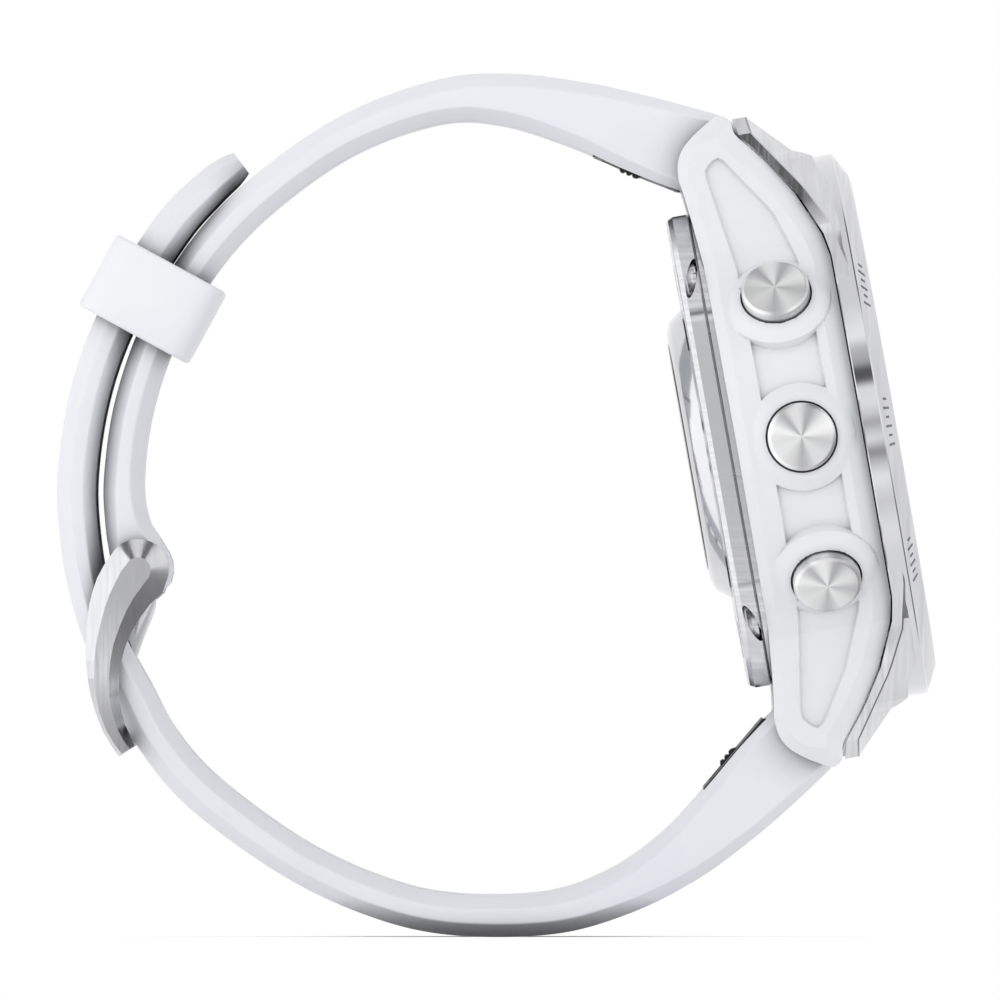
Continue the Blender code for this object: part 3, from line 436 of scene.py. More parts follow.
def inset(outline, gap):
    """A convex closed outline moved inward by gap, corner by corner."""
    area = sum(a[0] * b[1] - b[0] * a[1] for a, b in zip(outline, outline[1:] + outline[:1]))
    inward = math.copysign(gap, area)
    out = []
    for i, p in enumerate(outline):
        before, after = outline[i - 1], outline[(i + 1) % len(outline)]
        way = Vector((after[0] - before[0], after[1] - before[1])).normalized()
        out.append((p[0] - way.y * inward, p[1] + way.x * inward))
    return out


def lathe(profile, segments=96, origin=(0.0, 0.0, 0.0), finishes=None):
    """Turn a closed (height, radius) outline about the X axis through origin."""
    bm = bmesh.new()
    ox, oy, oz = origin
    solid = profile[0][1] < 1e-6 and profile[-1][1] < 1e-6
    loops = [[bm.verts.new((ox + h, oy + r * math.cos(math.tau * k / segments),
                            oz + r * math.sin(math.tau * k / segments)))
              for k in range(segments)] for h, r in (profile[1:-1] if solid else profile)]
    pairs = zip(loops, loops[1:] if solid else loops[1:] + loops[:1])
    for n, (a, b) in enumerate(pairs):
        for i in range(segments):
            j = (i + 1) % segments
            face = bm.faces.new((a[i], a[j], b[j], b[i]))
            face.material_index = finishes[n] if finishes else 0
    if solid:
        for ring in (loops[0], loops[-1]):
            middle = bm.verts.new((ring[0].co.x, oy, oz))
            for i in range(segments):
                bm.faces.new((ring[i], ring[(i + 1) % segments], middle))
    return bm


def prism(outline, start, end, plane, bm=None):
    """Extrude an outline; plane "yv" extrudes along u, plane "uv" extrudes along y."""
    return loft([[(d, a, b) if plane == "yv" else (a, d, b) for a, b in outline]
                 for d in (start, end)], bm=bm)


def box(x0, x1, y0, y1, z0, z1):
    return prism([(y0, z0), (y1, z0), (y1, z1), (y0, z1)], x0, x1, "yv")


def circle(x, z, radius, segments=48):
    return [(x + radius * math.cos(math.tau * k / segments),
             z + radius * math.sin(math.tau * k / segments)) for k in range(segments)]


def spline(points, step):
    """Catmull-Rom through rows of numbers, with samples about step apart in x, z."""
    rows = [points[0]] + list(points) + [points[-1]]
    out = []
    for a, b, c, d in zip(rows, rows[1:], rows[2:], rows[3:]):
        count = max(1, round(math.hypot(c[0] - b[0], c[1] - b[1]) / step))
        for k in range(count):
            t = k / count
            out.append([0.5 * (2 * q + (r - p) * t + (2 * p - 5 * q + 4 * r - s) * t * t
                               + (3 * q - p - 3 * r + s) * t ** 3)
                        for p, q, r, s in zip(a, b, c, d)])
    out.append(list(points[-1]))
    return out


def button_place(cy, cv, dy, dv):
    """A button's axes: x out of the case, y toward the dial."""
    out, front = Vector((0.0, dy, dv)), Vector((1.0, 0.0, 0.0))
    matrix = Matrix((out, front, out.cross(front))).transposed().to_4x4()
    matrix.translation = Vector((BUTTON_U, cy, cv))
    return matrix


def shade(mesh, degrees):
    """Smooth faces, with edges over that angle kept sharp."""
    bm = bmesh.new()
    bm.from_mesh(mesh)
    for face in bm.faces:
        face.smooth = True
    for edge in bm.edges:
        edge.smooth = edge.calc_face_angle(0.0) < math.radians(degrees)
    bm.to_mesh(mesh)
    bm.free()


def made(name, bm):
    """A new object, still in millimetres."""
    bmesh.ops.recalc_face_normals(bm, faces=bm.faces)
    mesh = bpy.data.meshes.new(name)
    bm.to_mesh(mesh)
    bm.free()
    obj = bpy.data.objects.new(name, mesh)
    bpy.context.scene.collection.objects.link(obj)
    return obj


def made_on_case(name, bm):
    """A new millimetre object whose points are moved from the case's axes to the world's."""
    bmesh.ops.transform(bm, matrix=CASE, verts=bm.verts)
    return made(name, bm)


def cut(obj, cutter_bm, operation="DIFFERENCE"):
    """Apply one exact boolean to an object still in millimetres."""
    cutter = made("cutter", cutter_bm)
    mod = obj.modifiers.new("cut", "BOOLEAN")
    mod.operation, mod.solver, mod.object = operation, "EXACT", cutter
    settle(obj)
    mesh = cutter.data
    bpy.data.objects.remove(cutter, do_unlink=True)
    bpy.data.meshes.remove(mesh)


def settle(obj):
    """Apply every modifier on an object."""
    bpy.context.view_layer.update()
    shaped = bpy.data.meshes.new_from_object(
        obj.evaluated_get(bpy.context.evaluated_depsgraph_get()))
    old = obj.data
    obj.modifiers.clear()
    obj.data = shaped
    bpy.data.meshes.remove(old)


def chamfer(obj, width, segments=2, degrees=35.0):
    """Break every edge sharper than that angle."""
    mod = obj.modifiers.new("edge break", "BEVEL")
    mod.width, mod.segments, mod.limit_method = width, segments, "ANGLE"
    mod.angle_limit = math.radians(degrees)
    mod.use_clamp_overlap = True
    settle(obj)


def make_piece(obj, finishes, body, nodes=(), matrix=None, degrees=35.0):
    """Scale a millimetre object to metres, shade, paint, place it and let it ride its body."""
    obj.data.transform(Matrix.Scale(MM, 4))
    shade(obj.data, degrees)
    for name in finishes:
        obj.data.materials.append(finish_of(name))
    if matrix is not None:
        placed = matrix.copy()
        placed.translation *= MM
        obj.matrix_world = placed
    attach(obj, body)
    if nodes:
        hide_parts(*nodes)


# Each button's name, its centre as (y, v) and the way it faces.
BUTTONS = [(name, (side * (BUTTON_SIDE_Y if v else BUTTON_MID_Y), v * BUTTON_SIDE_V),
            (side * math.cos(v * BUTTON_TURN), math.sin(v * BUTTON_TURN)))
           for name, side, v in (("light", -1, 1), ("up_menu", -1, 0), ("down", -1, -1),
                                 ("start_stop", 1, 1), ("back_lap", 1, -1))]
SCREWS = [(sy * SCREW_Y, sv * SCREW_V) for sv in (1, -1) for sy in (-1, 1)]


# ------------------------------------------------------------------ the moulded case as a field
def outline_distance(p, q, outline):
    """Signed distance to a closed outline, negative inside."""
    best, inside = 1e9, False
    for (ax, ay), (bx, by) in zip(outline, outline[1:] + outline[:1]):
        ex, ey = bx - ax, by - ay
        t = np.clip(((p - ax) * ex + (q - ay) * ey) / (ex * ex + ey * ey), 0.0, 1.0)
        best = np.minimum(best, (p - ax - t * ex) ** 2 + (q - ay - t * ey) ** 2)
        if ay != by:
            inside = inside ^ (((ay > q) != (by > q)) & (p < ex * (q - ay) / ey + ax))
    return np.where(inside, -1.0, 1.0) * np.sqrt(best)


def both(a, b, soft):
    """Inside both fields, with the edge between them rounded."""
    h = np.maximum(soft - np.abs(a - b), 0.0) / soft
    return np.maximum(a, b) + h * h * soft * 0.25


SIDE_OUTLINE = softened(SIDE_HALF, 0.7, 3)[4:-4] + [(-9.45, -40.0), (-0.10, -40.0), (-0.10, 13.2)]
LUG_OUTLINE = [(-60.0, -30.0), (10.0, -30.0), (17.47, 10.92), (16.3, 12.75), (15.15, 14.9),
               (14.5, 17.6), (13.75, 25.6), (13.3, 30.0), (-60.0, 30.0)]
PANEL_OUTLINE = softened(PANEL, 0.5, 2)
SEAT_OUTLINE = [(-60.0, -60.0), (15.8, -60.0), (15.8, 10.5), (14.5, 13.4), (12.3, 16.1),
                (9.8, 17.9), (-60.0, 17.9)]
COLLAR_R, COLLAR_FLAT_R, COLLAR_CONE = 4.1, 3.15, (0.56, 0.828)
BACK_BEVEL, BEVEL_FALL = 0.85, 0.55
SCREW_HOLE_R, SCREW_HOLE_END, SEAT_U, CAVITY_FLOOR_U = 0.8, -6.0, -9.45, -7.8
STEM_HOLE_R, STEM_HOLE_DEPTH, COLLAR_DEPTH, PIN_HOLE_Y = 1.6, 8.0, 5.0, 12.4


def case_field(u, y, v, bevel, depth):
    """How far a point in the case's axes is outside the moulding, negative inside it."""
    fold_y, fold_v = np.abs(y), np.abs(v)
    side = outline_distance(u, fold_v, SIDE_OUTLINE)
    plan = np.minimum(np.sqrt(y ** 2 + v ** 2) - CASE_R,
                      outline_distance(fold_y, fold_v, LUG_OUTLINE))
    # The sloped band is wide along the bezel and narrower along the back and the lug ends.
    wide = BACK_BEVEL + (bevel - BACK_BEVEL) * np.clip((u + 8.3) / 1.6, 0.0, 1.0)
    slope = ((side * BEVEL_FALL + plan * wide + wide * BEVEL_FALL)
             / np.sqrt(BEVEL_FALL ** 2 + wide ** 2))
    body = np.maximum(np.maximum(side, plan), slope)

    wall = (outline_distance(u, v, PANEL_OUTLINE) - (plan + depth) * 0.45) * 0.91
    body = np.maximum(body, -np.maximum(wall, -(plan + depth)))

    for _, (cy, cv), (dy, dv) in BUTTONS:
        height = (y - cy) * dy + (v - cv) * dv
        radius = np.sqrt((u - BUTTON_U) ** 2 + ((y - cy) * dv - (v - cv) * dy) ** 2)
        cone = (radius - COLLAR_FLAT_R) * COLLAR_CONE[0] + (height + CAP_PROUD) * COLLAR_CONE[1]
        collar = np.maximum(both(cone, height + CAP_PROUD, 0.2), radius - COLLAR_R)
        # Joining the collar is the opposite of cutting: both() on the fields turned inside out.
        body = -both(-body, -np.maximum(collar, -(height + COLLAR_DEPTH)), 0.1)
        body = np.maximum(body, -np.maximum(radius - POCKET_R, -(height + POCKET_DEPTH)))
        body = np.maximum(body, -np.maximum(radius - STEM_HOLE_R, -(height + STEM_HOLE_DEPTH)))

    bore = np.sqrt(y ** 2 + v ** 2)
    body = np.maximum(body, -np.maximum(bore - CAVITY_R, CAVITY_FLOOR_U - u))
    body = np.maximum(body, -(bore - REAR_BORE_R))
    body = both(body, -np.maximum(fold_y - LUG_INSIDE, GAP_START_V - fold_v), 0.3)
    body = np.maximum(body, -np.maximum(
        np.sqrt((u - PIN_U) ** 2 + (fold_v - PIN_V) ** 2) - PIN_R - 0.1, fold_y - PIN_HOLE_Y))
    body = np.maximum(body, -np.maximum(outline_distance(fold_y, fold_v, SEAT_OUTLINE),
                                        u - SEAT_U))
    screw = np.sqrt((fold_y - SCREW_Y) ** 2 + (fold_v - SCREW_V) ** 2) - SCREW_HOLE_R
    return np.maximum(body, -np.maximum(screw, u - SCREW_HOLE_END))


# How hard a cell's point is held to the middle of its crossings, and the step used for slopes.
PULL, NUDGE = 0.03, 0.01


def contour(field, low, high, step):
    """Points and quads where a field crosses zero, one point a grid cell, with creases kept."""
    low = np.array(low)
    counts = [int(math.ceil((b - a) / step)) + 1 for a, b in zip(low, high)]
    u, y, v = (low[i] + step * np.arange(counts[i]) for i in range(3))
    values = field(u[:, None, None], y[None, :, None], v[None, None, :])
    inside = values < 0.0
    strides = np.array((counts[1] * counts[2], counts[2], 1))
    spots, normals, cells, turned = [], [], [], []
    for axis in range(3):
        order = [axis] + [i for i in range(3) if i != axis]
        along = np.moveaxis(inside, axis, 0)
        found = np.argwhere(along[:-1] != along[1:])
        cell = np.empty_like(found)
        cell[:, order] = found
        near, far = cell.copy(), cell.copy()
        far[:, axis] += 1
        a, b = values[tuple(near.T)], values[tuple(far.T)]
        spot = low + step * cell
        start = spot[:, axis].copy()
        s0, s1 = np.zeros(len(a)), np.ones(len(a))
        f0, f1 = a.copy(), b.copy()
        for _ in range(3):
            s = s0 + (s1 - s0) * f0 / (f0 - f1)
            spot[:, axis] = start + step * s
            f = field(*spot.T)
            same = (f < 0.0) == (f0 < 0.0)
            s0, f0 = np.where(same, s, s0), np.where(same, f, f0)
            s1, f1 = np.where(same, s1, s), np.where(same, f1, f)
        slope = []
        for i in range(3):
            moved = spot.copy()
            moved[:, i] += NUDGE
            slope.append(field(*moved.T) - f)
        slope = np.stack(slope, 1)
        slope /= np.maximum(np.linalg.norm(slope, axis=1, keepdims=True), 1e-9)
        corners = []
        for p, q in ((0, 0), (-1, 0), (-1, -1), (0, -1)):
            shifted = cell.copy()
            shifted[:, order[1]] += p
            shifted[:, order[2]] += q
            corners.append(shifted @ strides)
        spots.append(spot)
        normals.append(slope)
        cells.append(np.stack(corners, 1))
        turned.append((a < 0.0) ^ (axis == 1))
    spot, normal = np.concatenate(spots), np.concatenate(normals)
    cell, turned = np.concatenate(cells), np.concatenate(turned)
    names, quads = np.unique(cell.ravel(), return_inverse=True)
    quads = quads.reshape(cell.shape)

    def gathered(weights):
        return sum(np.bincount(quads[:, k], weights, len(names)) for k in range(4))

    count = gathered(np.ones(len(spot)))
    middle = np.stack([gathered(spot[:, i]) / count for i in range(3)], 1)
    reach = (normal * spot).sum(1)
    matrix = np.empty((len(names), 3, 3))
    for i in range(3):
        for j in range(i, 3):
            matrix[:, i, j] = matrix[:, j, i] = gathered(normal[:, i] * normal[:, j])
    target = np.stack([gathered(normal[:, i] * reach) for i in range(3)], 1)
    matrix += PULL * np.eye(3)
    points = np.linalg.solve(matrix, (target + PULL * middle)[:, :, None])[:, :, 0]
    corner = low + step * np.stack(np.unravel_index(names, counts), 1)
    points = np.clip(points, corner - 0.05 * step, corner + 1.05 * step)
    quads[~turned] = quads[~turned][:, ::-1]
    return points, quads


FIELD_BOX = (-11.2, -23.03, -26.43), (0.6, 23.1, 26.5)


def moulded_case(sizes):
    """The case's moulding, meshed from its field."""
    bevel, depth = sizes.case_bevel / MM, sizes.panel_depth / MM
    points, quads = contour(lambda u, y, v: case_field(u, y, v, bevel, depth),
                            *FIELD_BOX, sizes.voxel / MM)
    mesh = bpy.data.meshes.new("case_moulding")
    mesh.from_pydata(points.tolist(), [], quads.tolist())
    mesh.transform(CASE)
    obj = bpy.data.objects.new("case_moulding", mesh)
    bpy.context.scene.collection.objects.link(obj)
    return obj


class WATCH_OT_case(bpy.types.Operator):
    """Mould the polymer case with its bevelled flanks, sunk panels and button collars"""
    bl_idname = "watch.case"
    bl_label = "Moulded case"

    def execute(self, context):
        obj = moulded_case(context.scene.watch_sizes)
        if len(obj.data.polygons) < 1000:
            raise RuntimeError("the case field gave no surface")
        make_piece(obj, ["fibre_polymer_moulded"], HOME, ["case_frame"],
                   degrees=15.0)
        return {"FINISHED"}


# How an arm runs down a lug, from the ring to the lug's tip: across the lug, from the strap gap
# to the flank, its top slopes down from ARM_TOP to ARM_EDGE; ARM_LOW is where it sits on the case.
ARM_LOW = [(11.3, 0.02), (13.2, 0.02), (15.0, -0.3), (18.45, -1.8), (21.25, -3.6), (23.5, -5.35),
           (23.9, -5.62), (25.0, -5.62)]
ARM_EDGE = [(11.3, 1.2), (12.44, 1.1), (15.77, 0.39), (18.79, -1.14), (23.54, -4.4),
            (25.0, -4.6)]
ARM_TOP = [(11.3, 1.22), (13.0, 1.14), (18.4, 1.03), (19.8, 0.2), (21.03, -0.1), (21.43, -0.9),
           (21.64, -1.5), (24.75, -4.54), (25.0, -4.6)]
ARM_FLANK = [(11.3, 17.68), (12.0, 17.34), (12.75, 16.84), (14.0, 15.84), (15.0, 15.25),
             (16.2, 14.85), (17.6, 14.5), (20.0, 14.07), (23.5, 13.44), (24.8, 12.2)]
SKIRT = [(0.02, 19.5), (0.02, 20.9), (-0.06, 21.05), (-0.9, 21.43), (-1.5, 21.64), (-1.6, 21.5),
         (-1.6, 20.3)]
SKIRT_TURN = 0.53
MARK_DEPTH, MARK_RISE, MARK_MIDDLE, MARK_HALF = -0.02, 0.015, 1.05, 0.09


def arm_stations():
    """Rows of v, inner y, outer y, low u, edge u and top u along a bezel arm."""
    rows = []
    for v in (11.4, 12.0, 12.4, 13.0, 13.6, 14.4, 15.0, 15.77, 16.6, 17.6, 18.4, 19.1, 19.8,
              20.4, 21.03, 21.43, 21.64, 22.4, 23.1, 23.5, 24.78):
        outer, low, edge, top = (float(np.interp(v, *zip(*table)))
                                 for table in (ARM_FLANK, ARM_LOW, ARM_EDGE, ARM_TOP))
        under_ring = math.sqrt(max(0.0, (BEZEL_R - 0.05) ** 2 - v * v))
        inner = max(LUG_INSIDE, min(under_ring, outer - 0.25))
        rows.append((v, inner, outer, low, edge, max(top, edge + 0.02)))
    return rows


class WATCH_OT_bezel(bpy.types.Operator):
    """Turn the bezel ring, with its marks, and cut the four arms that run down the lugs"""
    bl_idname = "watch.bezel"
    bl_label = "Bezel"

    def execute(self, context):
        profile = [(0.0, BEZEL_BORE_R), (0.0, 20.9), (0.02, 20.95), (0.08, BEZEL_R),
                   (BEZEL_RIM - 0.12, BEZEL_R), (BEZEL_RIM - 0.02, 20.96),
                   (BEZEL_RIM + 0.06, 20.84), (BEZEL_TOP - 0.08, BEZEL_TOP_R + 0.16),
                   (BEZEL_TOP, BEZEL_TOP_R), (BEZEL_TOP, 18.4), (BEZEL_TOP - 0.05, 18.3),
                   (2.2, BEZEL_BORE_R + 0.05), (2.1, BEZEL_BORE_R)]
        finishes = [0, 1, 1, 1, 1, 1, 0, 1, 0, 1, 0, 1, 1]
        make_piece(made_on_case("bezel_ring", lathe(profile, 256, finishes=finishes)),
                   ["stainless_steel_brushed_round", "stainless_steel_polished"], HOME,
                   ["bezel"], degrees=20.0)

        # Generic marks in the sloped face beside each button, alternately short and long.
        bm = bmesh.new()
        slope = Vector((BEZEL_TOP - BEZEL_RIM, BEZEL_TOP_R - BEZEL_R)).normalized()
        outward = Vector((-slope.y, slope.x))
        for _, (cy, cv), _ in BUTTONS:
            for turn, long_mark in ((-5, 0.5), (-3, 0.9), (-1, 0.5), (1, 0.9), (3, 0.5), (5, 0.9)):
                middle = math.atan2(cv, cy) + math.radians(turn)
                rings = []
                for lift in (MARK_DEPTH, MARK_RISE):
                    ring = []
                    for end, side in ((-1, -1), (1, -1), (1, 1), (-1, 1)):
                        along = MARK_MIDDLE + end * long_mark / 2
                        h = BEZEL_RIM + slope.x * along + outward.x * lift
                        r = BEZEL_R + slope.y * along + outward.y * lift
                        a = middle + side * MARK_HALF / r
                        ring.append((h, r * math.cos(a), r * math.sin(a)))
                    rings.append(ring)
                loft(rings, bm=bm)
        make_piece(made_on_case("bezel_marks", bm), ["bezel_mark_enamel"], HOME)

        for label, sign in (("upper", 1), ("lower", -1)):
            for hand, way in (("left", -1), ("right", 1)):
                bm = loft([[(low, way * inner, sign * v), (low, way * outer, sign * v),
                            (edge - 0.1, way * outer, sign * v),
                            (edge + 0.04, way * (outer - 0.12), sign * v),
                            (top, way * inner, sign * v)]
                           for v, inner, outer, low, edge, top in arm_stations()])
                make_piece(made_on_case("bezel_arm_%s_%s" % (label, hand), bm),
                           ["stainless_steel_satin"], HOME, degrees=13.0)
            # The ring's skirt closes the space between the two arms.
            bm = loft([[(u, r * math.sin(turn), sign * r * math.cos(turn)) for u, r in SKIRT]
                       for turn in np.linspace(-SKIRT_TURN, SKIRT_TURN, 33)])
            make_piece(made_on_case("bezel_skirt_" + label, bm), ["stainless_steel_satin"], HOME,
                       degrees=20.0)
        return {"FINISHED"}


class WATCH_OT_dial(bpy.types.Operator):
    """Fit the cover glass and the display with a plain set of marks and hands"""
    bl_idname = "watch.dial"
    bl_label = "Glass and display"

    def execute(self, context):
        glass = lathe([(0.85, 0.0), (0.85, LENS_R - 0.1), (0.95, LENS_R), (1.9, LENS_R),
                       (2.02, LENS_R - 0.06), (2.1, LENS_R - 0.22), (2.1, 0.0)], 160)
        make_piece(made_on_case("cover_glass", glass), ["mineral_glass_polished"], HOME,
                   ["display_lens"], degrees=30.0)
        face = lathe([(-0.5, 0.0), (-0.5, 16.8), (0.62, 16.8), (0.7, 16.7), (0.7, 15.6),
                      (0.55, 15.4), (0.55, 0.0)], 128)
        make_piece(made_on_case("display_face", face), ["display_film"], HOME,
                   ["display_panel"])

        def flat_mark(turn, outline, low, high, bm=None):
            """A thin shape on the dial, from (outward, across) points turned from 3 o'clock."""
            out = Vector((0.0, math.cos(turn), math.sin(turn)))
            across = Vector((0.0, -math.sin(turn), math.cos(turn)))
            return loft([[Vector((h, 0.0, 0.0)) + out * r + across * s for r, s in outline]
                         for h in (low, high)], bm=bm)

        count = context.scene.watch_sizes.bezel_ticks
        bm = bmesh.new()
        for k in range(count):
            inner, half = (14.2, 0.08) if k % 5 else (13.1, 0.22)
            flat_mark(math.tau * k / count,
                      ((inner, -half), (15.0, -half), (15.0, half), (inner, half)), 0.56, 0.62, bm)
        make_piece(made_on_case("display_marks", bm), ["display_ink_white"], HOME)
        for name, finish, degrees, reach, half, base in (
                ("hour", "display_ink_white", 30.0, 8.2, 0.5, 0.62),
                ("minute", "display_ink_white", 128.0, 12.2, 0.36, 0.68),
                ("second", "display_ink_blue", 250.0, 13.2, 0.12, 0.74)):
            hand = flat_mark(math.radians(180.0 - degrees),
                             ((-1.8, -half), (reach - 1.0, -half), (reach, 0.0),
                              (reach - 1.0, half), (-1.8, half)), base, base + 0.05)
            make_piece(made_on_case("display_hand_" + name, hand), [finish], HOME)
        return {"FINISHED"}


class WATCH_OT_back(bpy.types.Operator):
    """Make the steel back plate, its screws and the raised sensor ring with its window"""
    bl_idname = "watch.back"
    bl_label = "Back plate and sensor"

    def execute(self, context):
        quarter = COVER_HALF[1:] + [(-a, b) for a, b in reversed(COVER_HALF[1:])]
        outline = softened(quarter + [(-a, -b) for a, b in quarter], 0.9, 4)
        plate = made("back_plate", loft(
            [[(u, y, v) for y, v in inset(outline, gap)] for u, gap in (
                (-9.55, 0.55), (-10.1, 0.55), (-10.15, 0.52), (-10.22, 0.12), (-10.32, 0.0),
                (-11.42, 0.0), (-11.46, 0.03), (-11.8, 0.2), (-11.84, 0.26))]))
        cut(plate, lathe([(-8.0, 0.0), (-8.0, SENSOR_R + 0.05), (-14.0, SENSOR_R + 0.05),
                          (-14.0, 0.0)], 128))
        for y, v in SCREWS:
            cut(plate, lathe([(-9.0, 0.0), (-9.0, 0.8), (-10.25, 0.8), (-10.25, 1.5),
                              (-13.0, 1.5), (-13.0, 0.0)], 40, (0.0, y, v)))
            # A slanted oval window in the flank shows the screw's head.
            oval = []
            for k in range(28):
                a = math.tau * k / 28
                p, q = 0.42 * math.cos(a), 1.45 * math.sin(a)
                oval.append((-10.82 + p + q * math.copysign(0.304, v),
                             v - math.copysign(0.05, v) + q))
            cut(plate, prism(oval, *sorted((y, math.copysign(18.0, y))), "uv"))
        cut(plate, box(-13.0, -10.8, -3.3, 3.3, -15.9, -13.1))
        cut(plate, box(-10.9, -9.0, -2.6, 2.6, -15.4, -13.6))
        plate.data.transform(CASE)
        make_piece(plate, ["stainless_steel_brushed_across"], HOME, ["rear_cover"],
                   degrees=14.0)

        for index, (y, v) in enumerate(SCREWS, 1):
            screw = made("back_screw_%d" % index, lathe(
                [(-6.4, 0.0), (-6.4, 0.55), (-6.6, 0.7), (-10.35, 0.7), (-10.35, 1.25),
                 (-10.42, 1.35), (-11.05, 1.35), (-11.2, 1.25), (-11.25, 1.1), (-11.25, 0.0)],
                48, (0.0, y, v)))
            star = []
            for k in range(12):
                r, a = (0.62 if k % 2 else 0.44), math.tau * k / 12
                star.append((r * math.cos(a) + y, r * math.sin(a) + v))
            cut(screw, prism(star, -10.7, -12.0, "yv"))
            screw.data.transform(CASE)
            make_piece(screw, ["stainless_steel_brushed_long"], HOME, ["rear_screw_%d" % index])

        ring = lathe([(-8.8, 9.0), (-8.8, 12.6), (-9.4, 12.6), (-9.4, SENSOR_R),
                      (-11.97, SENSOR_R), (-12.1, 11.12), (-12.9, 10.5), (-13.05, 10.3),
                      (-13.22, 9.85), (-13.3, 9.6), (-13.3, 9.1), (-13.2, 9.0)], 160)
        make_piece(made_on_case("sensor_ring", ring), ["stainless_steel_polished"], HOME,
                   ["sensor_housing"], degrees=25.0)
        window = lathe([(-12.6, 0.0), (-12.6, 8.9), (-13.25, 8.9), (-13.4, 8.8), (-13.45, 8.6),
                        (-13.45, 0.0)], 128)
        make_piece(made_on_case("sensor_window", window), ["sensor_glass_coated"], HOME,
                   ["sensor_lens"], degrees=30.0)
        return {"FINISHED"}


class WATCH_OT_buttons(bpy.types.Operator):
    """Turn the five button caps, faced to fan out the light, with the fans painted into the colour
    too
    """
    bl_idname = "watch.buttons"
    bl_label = "Buttons"

    def execute(self, context):
        dish = [(-0.06 * (r / 2.3) ** 2, r) for r in (2.3, 1.8, 1.2, 0.6)]
        profile = [(-STEM_END, 0.0), (-STEM_END, STEM_R - 0.1), (-STEM_END + 0.1, STEM_R),
                   (-CAP_THICK, STEM_R), (-CAP_THICK, CAP_R - 0.1), (-CAP_THICK + 0.1, CAP_R),
                   (-0.34, CAP_R), (-0.24, CAP_R - 0.03), (-0.12, CAP_R - 0.16),
                   (-0.07, CAP_R - 0.24)] + dish + [(0.0, 0.0)]
        for name, centre, way in BUTTONS:
            make_piece(made("cap_" + name, lathe(profile, 128)), ["stainless_steel_spun"],
                       "press_" + name, ["button_" + name],
                       CASE @ button_place(*centre, *way), 30.0)
        return {"FINISHED"}


def strap_rings(line, sizes, step=0.6):
    """Strap sections along a centre line, eight-sided with moulded edges."""
    rows = spline(line, step)
    rings = []
    for i, (x, z, thick, half, bevel) in enumerate(rows):
        ahead, behind = rows[min(i + 1, len(rows) - 1)], rows[max(i - 1, 0)]
        along = Vector((ahead[0] - behind[0], ahead[1] - behind[1])).normalized()
        out = Vector((-along.y, along.x))
        h, in_y, in_n = thick / 2, bevel * 1.5, min(bevel, thick * 0.34)
        section = [(half, h - in_n), (half - in_y, h), (in_y - half, h), (-half, h - in_n),
                   (-half, in_n - h), (in_y - half, -h), (half - in_y, -h), (half, in_n - h)]
        section = softened(section, sizes.strap_edge / MM)
        rings.append([(x + out.x * n, y, z + out.y * n) for y, n in section])
    return rings


def strap_points(line, x, z, distances):
    """Place and direction at distances along a strap from its point nearest to x, z."""
    rows = spline(line, 0.25)
    start = min(range(len(rows)), key=lambda i: math.hypot(rows[i][0] - x, rows[i][1] - z))
    found = []
    for distance in distances:
        i, gone = start, 0.0
        move = 1 if distance > 0 else -1
        while gone < abs(distance) and 0 < i + move < len(rows) - 1:
            gone += math.hypot(rows[i + move][0] - rows[i][0], rows[i + move][1] - rows[i][1])
            i += move
        along = Vector((rows[i + 1][0] - rows[i - 1][0], rows[i + 1][1] - rows[i - 1][1]))
        found.append((rows[i][0], rows[i][1], along.normalized(), rows[i][2]))
    return found


def latch_matrix(which):
    """A latch's axes: x along the strap away from the lug, z out of the strap's inner face."""
    mid, tip = {"upper": ((10.6, 58.52), (7.27, 59.9)),
                "lower": ((18.05, 14.05), (16.08, 11.71))}[which]
    along = Vector((tip[0] - mid[0], 0.0, tip[1] - mid[1])).normalized()
    centre = Vector((ARC_X, 0.0, ARC_Z)) - Vector((mid[0], 0.0, mid[1]))
    face_out = (centre - along * centre.dot(along)).normalized()
    matrix = Matrix((along, face_out.cross(along), face_out)).transposed().to_4x4()
    matrix.translation = Vector((mid[0], 0.0, mid[1]))
    return matrix


